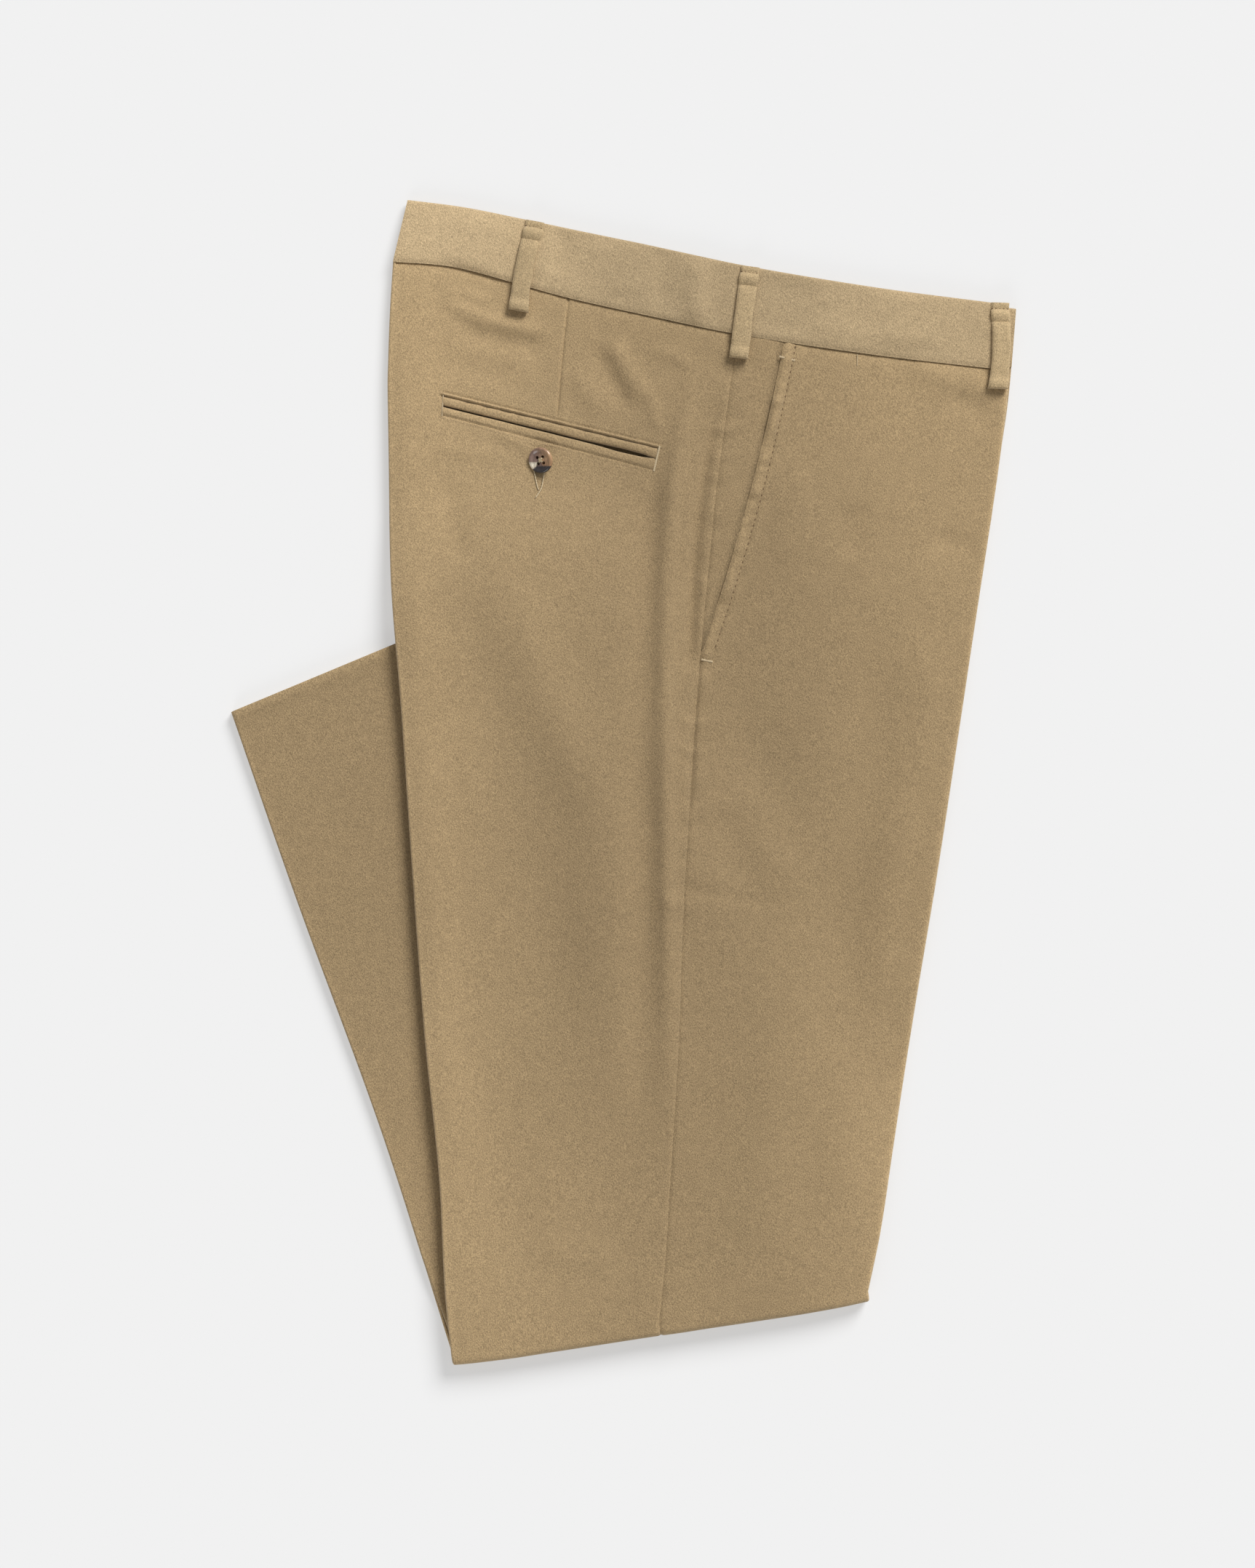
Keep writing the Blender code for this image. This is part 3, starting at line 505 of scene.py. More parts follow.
def leg_rows(cloth, knee_steps=22):
    """All rows down the thigh, round the knee fold and up to the hem."""
    thigh, shin = THIGH_ROWS, SHIN_ROWS
    middle = thigh[:, 1]
    steps = np.linalg.norm(np.diff(middle, axis=0), axis=1)
    from_waist = np.concatenate([[0.0], np.cumsum(steps)])
    to_fold = np.linalg.norm(middle - middle[-1], axis=1)
    knee = np.repeat(thigh[-1:], knee_steps - 1, axis=0)
    shin_run = np.linalg.norm(shin[:, 1] - shin[0, 1], axis=1)
    ends = np.concatenate([thigh, knee, shin])
    turn = np.concatenate([np.zeros(len(thigh)),
                           math.pi * np.arange(1, knee_steps) / knee_steps,
                           np.full(len(shin), math.pi)])
    to_fold = np.concatenate([to_fold, np.zeros(knee_steps - 1), shin_run])
    from_waist = np.concatenate([from_waist, np.full(len(ends) - len(thigh), DIP_RUN)])
    return Rows(cloth, ends, turn, to_fold, from_waist)


def between(anchors, step):
    """Positions through all the anchors, no more than a step apart."""
    result = []
    for start, end in zip(anchors, anchors[1:]):
        count = max(1, math.ceil((end - start) / step))
        result.extend(start + (end - start) * i / count for i in range(count))
    return np.array(result + [anchors[-1]])


def finish_mesh(bm, name, material, hide=()):
    """Make a bmesh an object that rides on the trousers."""
    mesh = bpy.data.meshes.new(name)
    bm.to_mesh(mesh)
    bm.free()
    mesh.shade_smooth()
    mesh.materials.append(bpy.data.materials[material])
    piece = bpy.data.objects.new(name, mesh)
    bpy.context.scene.collection.objects.link(piece)
    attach(piece, "root")
    if hide:
        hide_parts(*hide)
    return piece


def grid_onto(bm, points, keep=None, wear=None):
    """A grid of quads laid onto an array of points; keep says which cells stay.

    The last argument is how much lighter, or below 0 darker, the nap is painted at each point:
    worn nap, painted highlight and painted shade.
    """
    rows, columns = points.shape[:2]
    layer = bm.verts.layers.float.new("wear") if wear is not None else None
    made = bmesh.ops.create_grid(bm, x_segments=columns - 1, y_segments=rows - 1, size=0.5)
    places = {}
    for vert in made["verts"]:
        column = round((vert.co.x + 0.5) * (columns - 1))
        row = round((vert.co.y + 0.5) * (rows - 1))
        places[vert] = (row, column)
    if keep is not None:
        faces = {face for vert in made["verts"] for face in vert.link_faces}
        dropped = [face for face in faces
                   if not keep(min(places[v][0] for v in face.verts),
                               min(places[v][1] for v in face.verts))]
        bmesh.ops.delete(bm, geom=dropped, context="FACES")
    for vert, (row, column) in places.items():
        if vert.is_valid:
            vert.co = points[row, column] * MM
            if layer:
                vert[layer] = wear[row, column]
    return [vert for vert in places if vert.is_valid]


def add_wall(piece, thickness, rounding, segments=2):
    """Give a sheet its thickness, inwards, and round its rims."""
    wall = piece.modifiers.new("wall", "SOLIDIFY")
    wall.thickness = thickness * MM
    wall.offset = -1.0
    wall.use_even_offset = True
    edge = piece.modifiers.new("rounded rims", "BEVEL")
    edge.width = rounding * MM
    edge.segments = segments
    edge.profile = 0.5
    edge.limit_method = "ANGLE"
    edge.angle_limit = CREASE_LIMIT


def seam_dip(distance, depth=0.6, width=1.1):
    """Depth by which cloth turns down into a seam, at a distance from it."""
    return depth * np.exp(-(distance / width) ** 2)


CREASE_WEAR_AND_HIGHLIGHT, KNEE_HIGHLIGHT = 0.19, 0.36   # painted highlight along the creases, whose nap is also worn, and round the knee fold
CREASE_HIGHLIGHT_WIDTH = 3.0


def crease_wear_and_highlight(rows, distances):
    """Painted highlight along the pressed crease, whose nap is also worn, and round the knee fold.
    """
    crease = CREASE_WEAR_AND_HIGHLIGHT * np.exp(-(distances / CREASE_HIGHLIGHT_WIDTH) ** 2)
    return np.maximum(crease, KNEE_HIGHLIGHT * np.sin(rows.turn)[:, None])


PUCKER_PITCH, PUCKER_REACH, PUCKER_LEAN = 6.0, 10.0, 0.25
PUCKER_LOW, PUCKER_THIGH, PUCKER_POCKET = 0.2, 0.4, 0.4   # depths, each added to the last
THIGH_FROM, THIGH_FADE = -45.0, 60.0  # heights from where the thigh's puckers begin
POCKET_UNDER, POCKET_FADE = 110.0, 30.0   # and under which the pocket's end adds its own
SEAM_SEED = 11                        # both sides of the side seam pucker alike


def seam_puckers(rows, points, distance):
    """Depth of the small puckers that the side seam pulls into the cloth beside it."""
    y = points[..., 1]
    run = -y + PUCKER_LEAN * distance
    thigh = ease((y - THIGH_FROM) / THIGH_FADE)
    deep = PUCKER_LOW + thigh * (PUCKER_THIGH
                                 + PUCKER_POCKET * ease((POCKET_UNDER - y) / POCKET_FADE))
    upper = rows.turn[:, None] == 0.0
    along = gathers(run, PUCKER_PITCH, SEAM_SEED)
    return deep * along * np.exp(-(distance / PUCKER_REACH) ** 2) * upper


WAIST_LINE_DIP, WAIST_TURN_RUN = 0.85, 2.8   # the panels turn in this deep, over this run
WAIST_ROW_STEP = 2.0                  # spacing of the first rows


def waist_turn(rows):
    """Depth to which the panels turn in under the waistband."""
    run = np.arange(len(rows)) * WAIST_ROW_STEP
    return WAIST_LINE_DIP * np.exp(-(run / WAIST_TURN_RUN) ** 2)[:, None]


# Lines across the back panel, between 9 mm from its back edge and 9 mm from its seam.
EDGE_LINES = np.array([2.2, 3.6, 6.0, 9.0])
SEAM_LINES = np.array([0.03, 0.35, 0.8, 1.4, 2.2, 3.4, 5.0, 7.0, 9.0])
BACK_SPAN = 193.5                 # between those lines at the back pocket
MOUTH_LEFT, DART, MOUTH_RIGHT = 0.1384, 0.5092, 0.8377
DART_LINES = np.array([-3.0, -1.8, -1.0, -0.5, -0.2, 0.2, 0.5, 1.0, 1.8, 3.0]) / BACK_SPAN
LINE_STEP = 2.4 / BACK_SPAN
DART_END, DART_FADE = 228.0, 8.0      # height of the dart's end, at the pocket
DART_DEPTH, DART_WIDTH = 0.85, 0.8


def back_columns(rows):
    """Distances from the back edge to each line of the back panel, row by row."""
    inner = np.concatenate([
        between([0.0, MOUTH_LEFT, DART + DART_LINES[0]], LINE_STEP),
        DART + DART_LINES[1:],
        between([DART + DART_LINES[-1], MOUTH_RIGHT, 1.0], LINE_STEP)[1:],
    ])
    width = rows.widths()[0][:, None]
    span = width - EDGE_LINES[-1] - SEAM_LINES[-1]
    distances = np.concatenate([
        np.broadcast_to(EDGE_LINES[:-1], (len(rows), len(EDGE_LINES) - 1)),
        EDGE_LINES[-1] + span * inner,
        width - SEAM_LINES[::-1][1:],
    ], axis=1)
    return distances, inner


def line_distance(points, start, end):
    """Signed distance of plan points from a line, positive on its left, and the run along it."""
    run = np.array(end) - np.array(start)
    length = math.hypot(*run)
    offset = points - np.array(start)
    across = (run[0] * offset[..., 1] - run[1] * offset[..., 0]) / length
    return across, (offset @ run) / length


# Rows of the back pocket's border: place off the mouth's edge, width and height or depth.
ROPE_RUN, ROPE_WIDTH, ROPE_HEIGHT = 1.3, 0.52, 0.95       # corded edge above the mouth
GROOVE_RUN, GROOVE_WIDTH, GROOVE_DEPTH = 2.7, 0.65, 0.4   # its row of stitches
BORDER_RUN, BORDER_WIDTH, BORDER_DEPTH = 1.9, 0.7, 0.2    # row of stitches below the mouth
TWIST_PITCH, PULL_PITCH = 3.6, 5.0    # unevenness of the cord and of the stitched rows
LOOSE_AT, LOOSE_REACH = 61.0, 12.0    # loose stretch of the lower border


def mouth_relief(points):
    """Depth of the back pocket's stitched border, less where it is corded."""
    above, run = line_distance(points, *MOUTH_UPPER)
    below, _ = line_distance(points, *MOUTH_LOWER)
    length = math.dist(*MOUTH_UPPER)
    along = ease((run + 3.0) / 2.0) * ease((length + 3.0 - run) / 2.0)
    twist = 0.7 + 0.9 * gathers(run + 0.8 * above, TWIST_PITCH, 21)
    rope = ROPE_HEIGHT * np.exp(-((above - ROPE_RUN) / ROPE_WIDTH) ** 2) * twist
    groove = GROOVE_DEPTH * np.exp(-((above - GROOVE_RUN) / GROOVE_WIDTH) ** 2)
    pulled = 0.8 + 0.6 * gathers(run, PULL_PITCH, 22)
    hem = BORDER_DEPTH * np.exp(-((below + BORDER_RUN) / BORDER_WIDTH) ** 2) * pulled
    loose = np.exp(-((run - LOOSE_AT) / LOOSE_REACH) ** 2)
    swell = (0.15 + 0.5 * loose) * np.exp(-((below + 1.0 + 1.6 * loose) / 0.9) ** 2) * pulled
    edges = seam_dip(above, 1.2, 0.6) + seam_dip(below, 0.35, 0.8)
    return along * (groove + hem + edges - rope - swell)


def right_back_panel(cloth, rows):
    """The right back panel from its side seam to the back crease and round it."""
    distances, inner = back_columns(rows)
    width = rows.widths()[0][:, None]
    points = rows.plan(distances / width)
    upper = rows.turn[:, None] == 0.0
    span = width - EDGE_LINES[-1] - SEAM_LINES[-1]
    from_dart = distances - EDGE_LINES[-1] - span * DART
    dart_run = upper * ease((points[..., 1] - DART_END) / DART_FADE)
    depth = seam_dip(width - distances) + seam_dip(from_dart, DART_DEPTH, DART_WIDTH) * dart_run \
        + seam_puckers(rows, points, width - distances) + mouth_relief(points) * upper \
        + waist_turn(rows)
    sheet = rows.place(points, depth)
    inset, down = cloth.roll(cloth.crease, cloth.crease, cloth.crease)
    inset, down = inset[::-1], down[::-1]
    rim = rows.place(rows.plan(np.full(len(inset), BACK), inset), down)
    grid = np.concatenate([rim, sheet], axis=1)
    rolled = np.zeros((len(rows), len(inset)))
    wear = crease_wear_and_highlight(rows, np.concatenate([rolled, distances], axis=1))

    top = int(np.argmin(np.abs(rows.ends[:, 0, 1] - section("mouth top").back[1])))
    foot = int(np.argmin(np.abs(rows.ends[:, 0, 1] - section("mouth foot").back[1])))
    lead = len(inset) + len(EDGE_LINES) - 1
    left = lead + int(np.argmin(np.abs(inner - MOUTH_LEFT)))
    right = lead + int(np.argmin(np.abs(inner - MOUTH_RIGHT)))

    def keep(row, column):
        return not (top <= row < foot and left <= column < right)

    bm = bmesh.new()
    grid_onto(bm, grid, keep, wear)
    bmesh.ops.reverse_faces(bm, faces=bm.faces)
    piece = finish_mesh(bm, "back_panel_right", "tan_moleskin", ["right_back_panel"])
    add_wall(piece, cloth.wall, 0.4)


FRONT_NEAR = np.array([0.03, 0.4, 1.0, 1.7, 2.6, 4.0, 5.4, 6.4, 7.1, 7.7, 8.3, 9.2, 10.6, 13.0])
STITCH_INSET = 7.7                # topstitching of the slant pocket, from its edge
FRONT_WALL = 1.1                  # the front panel's thickness at its open edges
SLANT_STRETCH = 1.035             # length along the slant edge for each mm of height
SLANT_ROLL, SLANT_ROLL_WIDTH = 1.7, 1.9   # its edge rolls down this far, over this width
SLANT_GROOVE, SLANT_GROOVE_WIDTH = 0.5, 0.9   # groove of its topstitching
SLANT_PUCKER, SLANT_PUCKER_PITCH = 1.9, 9.5   # wide puckers between edge and stitches
SLANT_CRIMP, SLANT_CRIMP_PITCH = 0.8, 4.6     # and close ones
SLANT_PILLOW = 3.8                # the puckers' middle, from the edge, and their reach
SLANT_HIGHLIGHT, SLANT_HIGHLIGHT_AT = 0.17, 2.6   # painted highlight on the rolled edge, and where
FRONT_STEP = 3.6 / 130.0          # between lines of the front panel, as part of its width


def slant_relief(points, distances):
    """Depth of the slant pocket's rolled, puckered edge and its row of topstitching."""
    run = -points[..., 1] * SLANT_STRETCH
    groove = SLANT_GROOVE * np.exp(-((distances - STITCH_INSET) / SLANT_GROOVE_WIDTH) ** 2)
    puckers = (SLANT_PUCKER * gathers(run + 0.3 * distances, SLANT_PUCKER_PITCH, 31)
               + SLANT_CRIMP * gathers(run, SLANT_CRIMP_PITCH, 32))
    pillows = puckers * np.exp(-((distances - SLANT_PILLOW) / SLANT_PILLOW) ** 2)
    return seam_dip(distances, SLANT_ROLL, SLANT_ROLL_WIDTH) + groove + pillows


def right_front_panel(cloth, rows):
    """The right front panel from the slant pocket or side seam to the front crease."""
    start = rows.front_start()[:, None]
    front_width = rows.widths()[1][:, None]
    width = front_width * (FRONT - start)
    span = width - FRONT_NEAR[-1] - EDGE_LINES[-1]
    fractions = between([0.0, 1.0], FRONT_STEP)
    distances = np.concatenate([
        np.broadcast_to(FRONT_NEAR[:-1], (len(rows), len(FRONT_NEAR) - 1)),
        FRONT_NEAR[-1] + span * fractions,
        width - EDGE_LINES[::-1][1:],
    ], axis=1)
    points = rows.plan(start + distances / front_width)
    upper = rows.turn[:, None] == 0.0
    on_slant = upper * ease((points[..., 1] - SLANT_END[1] + 10.0) / 8.0)
    dip = seam_dip(distances) * (1 - on_slant) + slant_relief(points, distances) * on_slant \
        + waist_turn(rows) + seam_puckers(rows, points, distances) * (1 - on_slant)
    sheet = rows.place(points, dip - cloth.front_lip(points) * upper)
    inset, down = cloth.roll(cloth.crease, cloth.crease, cloth.crease)
    rim = rows.place(rows.plan(np.full(len(inset), FRONT), -inset), down)
    rolled = np.zeros((len(rows), len(inset)))
    wear = crease_wear_and_highlight(rows, np.concatenate([width - distances, rolled], axis=1))
    # Painted highlight on the slant pocket's rolled edge.
    rolled = np.exp(-((distances - SLANT_HIGHLIGHT_AT) / SLANT_HIGHLIGHT_AT) ** 2)
    wear[:, :distances.shape[1]] += SLANT_HIGHLIGHT * rolled * on_slant
    bm = bmesh.new()
    grid_onto(bm, np.concatenate([sheet, rim], axis=1), wear=wear)
    bmesh.ops.reverse_faces(bm, faces=bm.faces)
    piece = finish_mesh(bm, "front_panel_right", "tan_moleskin", ["right_front_panel"])
    add_wall(piece, FRONT_WALL, 0.55, 3)


TUCK, TUCK_RUN = 0.45, 5.0        # the facing sinks this far beside the slant edge
FACING_WALL = 0.45
FACING_FOOT = 0.45                # it ends where the opening is this narrow
FACING_SHADE = 0.3                # painted shade darkens it beside that edge
FACING_UNDER = 0.8                # it runs on this far under the front panel
FACING_LINES = np.array([0.03, 0.35, 0.7, 1.0])   # its lines beside the side seam
FACING_STEP = 0.08                # and between them and its edge, as parts of its width


def pocket_facing(cloth, rows):
    """Cloth that shows between the side seam and the slant opening."""
    start = rows.front_start()
    width = rows.widths()[1] * (start - SEAM)
    rows = rows[width > FACING_FOOT]
    width = width[width > FACING_FOOT][:, None]
    near = FACING_LINES[-1]
    fractions = between([0.0, 1.0], FACING_STEP)
    distances = np.concatenate([
        np.broadcast_to(FACING_LINES[:-1], (len(rows), len(FACING_LINES) - 1)),
        near + (width - near + FACING_UNDER) * fractions,
    ], axis=1)
    points = rows.plan(PAST_SEAM + distances / rows.widths()[1][:, None])
    tucked = TUCK * ease(1.0 - (width - distances) / TUCK_RUN) ** 1.5
    depth = seam_dip(distances) + tucked + seam_puckers(rows, points, distances)
    # Painted shade on the facing beside the slant edge, where the front panel's lip shades it.
    painted_shade = -FACING_SHADE * ease(1.0 - (width - distances) / TUCK_RUN)
    bm = bmesh.new()
    grid_onto(bm, rows.place(points, depth), wear=painted_shade)
    bmesh.ops.reverse_faces(bm, faces=bm.faces)
    piece = finish_mesh(bm, "slant_pocket_facing", "tan_moleskin",
                        ["front_pocket_facing"])
    add_wall(piece, FACING_WALL, 0.1)


HEM_LINE, HEM_WIDTH, HEM_DEPTH = 38.0, 5.0, 0.25        # where the hem is caught inside
HEM_TURN, HEM_TURN_AT, HEM_TURN_WIDTH = 0.85, 2.0, 5.5   # thicker cloth of its turned edge
# Painted highlight along the hem's turned edge, and its width.
HEM_HIGHLIGHT, HEM_HIGHLIGHT_WIDTH = 0.2, 2.5
LEG_STEP = 4.0 / 110.0            # between lines of the panel, as part of its width
LEG_RUMPLE, LEG_RUMPLE_SIZE = 0.25, 38.0
BARE_FROM = 6.0                   # the panel starts this far past the knee fold


def left_back_panel(cloth, rows):
    """Outside of the left lower leg, on top now that the legs are folded under."""
    width = rows.widths()[0][:, None]
    fractions = between([0.0, 1.0], LEG_STEP)
    distances = np.concatenate([
        np.broadcast_to(EDGE_LINES[:-1], (len(rows), len(EDGE_LINES) - 1)),
        EDGE_LINES[-1] + (width - EDGE_LINES[-1]) * fractions,
    ], axis=1)
    count = distances.shape[1]
    distances = distances + rows.creep[:, None] * (1 - np.arange(count) / (count - 1))
    points = rows.plan(np.minimum(distances / width, SEAM))
    from_hem = rows.to_fold[-1] - rows.to_fold
    caught = HEM_DEPTH * np.exp(-((from_hem - HEM_LINE) / HEM_WIDTH) ** 2)
    turned = -HEM_TURN * np.exp(-((from_hem - HEM_TURN_AT) / HEM_TURN_WIDTH) ** 2)
    top = cloth.lower_stack(points) - (caught + turned)[:, None]
    inside = ease(cloth.crown(points) / cloth.crown_height)
    top = top + LEG_RUMPLE * uneven(points, LEG_RUMPLE_SIZE, 6) * inside
    sheet = rows.place(points, top)
    inset, down = cloth.roll(cloth.crease, cloth.crease, cloth.stack - cloth.crease)
    insets = inset[None] + rows.creep[:, None]
    rim = rows.place(rows.plan(np.full((len(rows), len(inset)), BACK), insets), down)
    rolled = np.zeros((len(rows), len(inset)))
    wear = crease_wear_and_highlight(rows, np.concatenate([rolled, distances], axis=1))
    # Painted highlight along the hem's edge.
    wear += (HEM_HIGHLIGHT * np.exp(-(from_hem / HEM_HIGHLIGHT_WIDTH) ** 2))[:, None]
    bm = bmesh.new()
    grid_onto(bm, np.concatenate([rim, sheet], axis=1), wear=wear)
    piece = finish_mesh(bm, "back_panel_left", "leg_moleskin", ["left_back_panel"])
    add_wall(piece, cloth.wall, 0.45)


POCKET_DEPTH = 4.4                # the back pocket's slit goes this much deeper


def hidden_layers(cloth, rows):
    """Both legs' inner halves and the left leg's thigh, as one body with layered rims."""
    bare = np.clip(rows.to_fold / BARE_FROM, 0.0, 1.0) * (rows.turn > UNDERNEATH)
    start = rows.front_start()
    behind = between([0.06, 0.94], 0.035)
    ahead = between([0.03, 0.95], 0.04)
    count = len(rows)
    across = np.concatenate([
        np.zeros((count, 1)), np.broadcast_to(behind, (count, len(behind))),
        np.full((count, 2), SEAM), start[:, None] + (FRONT - start[:, None]) * ahead,
        np.full((count, 1), FRONT)], axis=1)
    shift = np.zeros_like(across)
    seam = len(behind) + 1
    shift[:, seam] = cloth.gap
    shift[:, seam + 1] = cloth.gap + cloth.core_step
    shift[:, 0], shift[:, -1] = cloth.core_rim, -cloth.core_rim
    points = rows.plan(across, shift)
    above, run = line_distance(points, *MOUTH_UPPER)
    below, _ = line_distance(points, *MOUTH_LOWER)
    in_mouth = (above < 0.0) & (below > 0.0) & (run > 0.0) & (run < math.dist(*MOUTH_UPPER))
    flat_part = (rows.turn == 0.0)[:, None]
    upper = rows.place(points, cloth.core_depth + POCKET_DEPTH * in_mouth * flat_part)
    shift[:, 0] += rows.creep
    shift[:, -1] -= rows.creep
    points = rows.plan(across, shift)
    depths = cloth.lower_stack(points) + cloth.relief(points) * flat_part
    depths[:, :seam + 1] -= (cloth.wall + cloth.gap) * bare[:, None]
    lower = rows.place(points, depths)

    step = np.array([(cloth.core_inset, cloth.core_depth), (cloth.core_inset, cloth.ply),
                     (cloth.core_inset + cloth.core_notch, cloth.ply + cloth.gap / 2)])
    inset, down = cloth.roll(cloth.crease, cloth.crease, cloth.stack - cloth.crease)
    floor = np.linspace(cloth.ply + cloth.gap, cloth.stack - cloth.wall - cloth.gap, len(inset))
    rolled = inset[None] + rows.creep[:, None]
    straight = cloth.core_inset + rows.creep[:, None]
    back_inset = rolled * (1 - bare[:, None]) + straight * bare[:, None]
    back_down = down[None] * (1 - bare[:, None]) + floor[None] * bare[:, None]
    step_inset = np.broadcast_to(step[:, 0], (count, len(step)))
    step_down = np.broadcast_to(step[:, 1], (count, len(step)))

    def rim(edge, sign, insets, downs, peek):
        insets = np.concatenate([step_inset, insets - peek[:, None]], axis=1)
        downs = np.concatenate([step_down, downs], axis=1)
        return rows.place(rows.plan(np.full(insets.shape, edge), sign * insets), downs)

    front = rim(FRONT, -1.0, rolled, np.broadcast_to(down, rolled.shape), rows.peek)
    back = rim(BACK, 1.0, back_inset, back_down, np.zeros(count))
    ring = np.concatenate([upper, front, lower[:, ::-1], back[:, ::-1], upper[:, :1]], axis=1)
    bm = bmesh.new()
    grid_onto(bm, ring)
    bmesh.ops.remove_doubles(bm, verts=bm.verts, dist=MERGE)
    ends = [edge for edge in bm.edges if edge.is_boundary]
    bmesh.ops.holes_fill(bm, edges=ends, sides=0)
    caps = [face for face in bm.faces if len(face.verts) > 4]
    bmesh.ops.triangulate(bm, faces=caps)
    bmesh.ops.recalc_face_normals(bm, faces=bm.faces)
    piece = finish_mesh(bm, "hidden_layers", "tan_moleskin", ["inner_layers"])
    piece.data.set_sharp_from_angle(angle=math.radians(45.0))


BAND_FACE = np.array([0.05, 0.4, 0.9, 1.6, 2.6, 4.0])   # lines near the waist seam
BAND_STEPS = 16
BAND_INSIDE = (0.5, 0.3)          # its inner side stays short of the outer by these
BAND_EASE, BAND_EASE_PITCH, BAND_EASE_REACH = 0.2, 2.4, 9.0   # fine gathers at its seam
BAND_WAVE, BAND_WAVE_PITCH, BAND_WAVE_FROM = 0.25, 17.0, 12.0   # wider waves above it
BAND_DIP, BAND_DIP_WIDTH = 0.8, 1.8


def waistband_half(cloth, line, drop, height):
    """Points of a strip along the waist, turned over at its upper edge."""
    up = line[:, 1] - line[:, 0]
    width = np.linalg.norm(up, axis=1)[:, None]
    turn = width - drop - cloth.crease
    inset, down = cloth.roll(cloth.crease, cloth.crease, cloth.crease)
    part = np.linspace(0.0, 1.0, BAND_STEPS)
    along = np.concatenate([
        np.broadcast_to(BAND_FACE[:-1], (len(line), len(BAND_FACE) - 1)),
        BAND_FACE[-1] + (turn - BAND_FACE[-1]) * part[:-1],
        turn + cloth.crease - inset[::-1],
        (turn - BAND_INSIDE[0]) * part[::-2] + BAND_INSIDE[1],
    ], axis=1)
    depth = np.concatenate([np.zeros(len(BAND_FACE) + BAND_STEPS - 2), cloth.crease
                            - cloth.crease * np.cos(np.linspace(0, math.pi, len(inset))),
                            np.full(len(part[::-2]), cloth.ply)])
    points = line[:, 0, None] + (up / width)[:, None] * along[..., None]
    z = height(points, np.broadcast_to(depth, along.shape), along)
    return np.concatenate([points, z[..., None]], axis=-1)


def waistbands(cloth):
    """The right half on top and the left half, which shows past the fly."""
    def right(points, depth, along):
        x = points[..., 0]
        fading = np.exp(-(along / BAND_EASE_REACH) ** 2)
        easing = BAND_EASE * gathers(x, BAND_EASE_PITCH, 41) * fading
        wavy = BAND_WAVE * gathers(x + 0.2 * along, BAND_WAVE_PITCH, 42)
        wavy = wavy * ease(along / BAND_WAVE_FROM)
        dip = seam_dip(along, BAND_DIP, BAND_DIP_WIDTH) + easing + wavy
        return cloth.band_height(points) - depth - dip

    def left(points, depth, along):
        return depth

    for name, line, drop, height, node in (
            ("waistband_right", WAIST_LINE, 0.0, right, "right_waistband"),
            ("waistband_left", np.concatenate([WAIST_LINE[:-1], [LEFT_BAND_END]]),
             cloth.band_drop, left, "left_waistband")):
        bm = bmesh.new()
        grid_onto(bm, waistband_half(cloth, line, drop, height))
        if height is right:
            bmesh.ops.reverse_faces(bm, faces=bm.faces)
        piece = finish_mesh(bm, name, "band_moleskin", [node])
        add_wall(piece, cloth.wall, 0.6)


BeltLoop = namedtuple("BeltLoop", "name stitched bottom sway")

# Each loop from its top stitches to its lower end; its middle sways this far to the front.
BELT_LOOPS = (
    BeltLoop("back_belt_loop", (-56.8, 350.8), (-66.9, 297.4), -1.1),
    BeltLoop("side_belt_loop", (79.5, 322.0), (72.5, 267.5), -0.2),
    BeltLoop("front_belt_loop", (238.0, 299.2), (236.2, 248.3), 1.6),
)
LOOP_WIDTH = 12.6
LOOP_WALL = 1.3
LOOP_STAND = 1.6                  # room under the middle of a loop, for a belt
LOOP_KNOT = 8.3                   # its second row of stitches, below the first

# Underside of a belt loop above the waistband, down its run from the top stitches.
LOOP_RISE = ((-3.9, 0.1), (-3.0, 0.3), (-1.8, 0.4), (-0.8, 0.2), (0.0, 0.0), (0.5, 0.2),
             (1.3, 1.1), (2.6, 1.7), (4.4, 1.75), (6.2, 1.4), (7.4, 0.9), (8.3, 0.35),
             (9.2, 0.8), (10.6, 1.3), (13.0, 1.6))

# The same before its lower end, back from the end, over the room under its middle.
LOOP_END = ((10.5, -0.1), (8.4, -0.4), (6.4, 0.3), (4.4, 1.25), (3.0, 1.2))
LOOP_END_RISE = 1.15              # at the end, which is folded thick
LOOP_SAG = 0.3                    # its middle hangs in by this much


def loop_path(cloth, length):
    """Run and height of a belt loop's outer side, down its face and round the lower end."""
    stand = cloth.gap + LOOP_STAND
    face = list(LOOP_RISE)
    face += [(run, stand - LOOP_SAG * math.sin(math.pi * (run - 12.0) / (length - 26.0)))
             for run in np.linspace(16.0, length - 14.0, 10)]
    face += [(length - back, stand + rise) for back, rise in LOOP_END]
    face = [(run, height + LOOP_WALL) for run, height in face]
    top, low = stand + LOOP_END_RISE + LOOP_WALL, cloth.gap
    radius = (top - low) / 2
    turn = [(length - radius + radius * math.sin(a), low + radius + radius * math.cos(a))
            for a in np.linspace(0.0, math.pi, 11)[1:]]
    under = [(length - 5.0, low), (length - 8.5, low), (length - 12.0, low)]
    return np.array(face + turn + under)


def loop_frame(loop):
    """A belt loop's stitched top, its direction down and across, and its length."""
    top, bottom = np.array(loop.stitched), np.array(loop.bottom)
    length = np.linalg.norm(bottom - top)
    along = (bottom - top) / length
    return top, along, np.array([-along[1], along[0]]), length


def loop_middle(loop, run):
    """Plan points down the middle of a belt loop."""
    top, along, side, length = loop_frame(loop)
    sway = loop.sway * np.sin(math.pi * np.clip(run / length, 0.0, 1.0))
    return top + along * run[..., None] + side * sway[..., None]


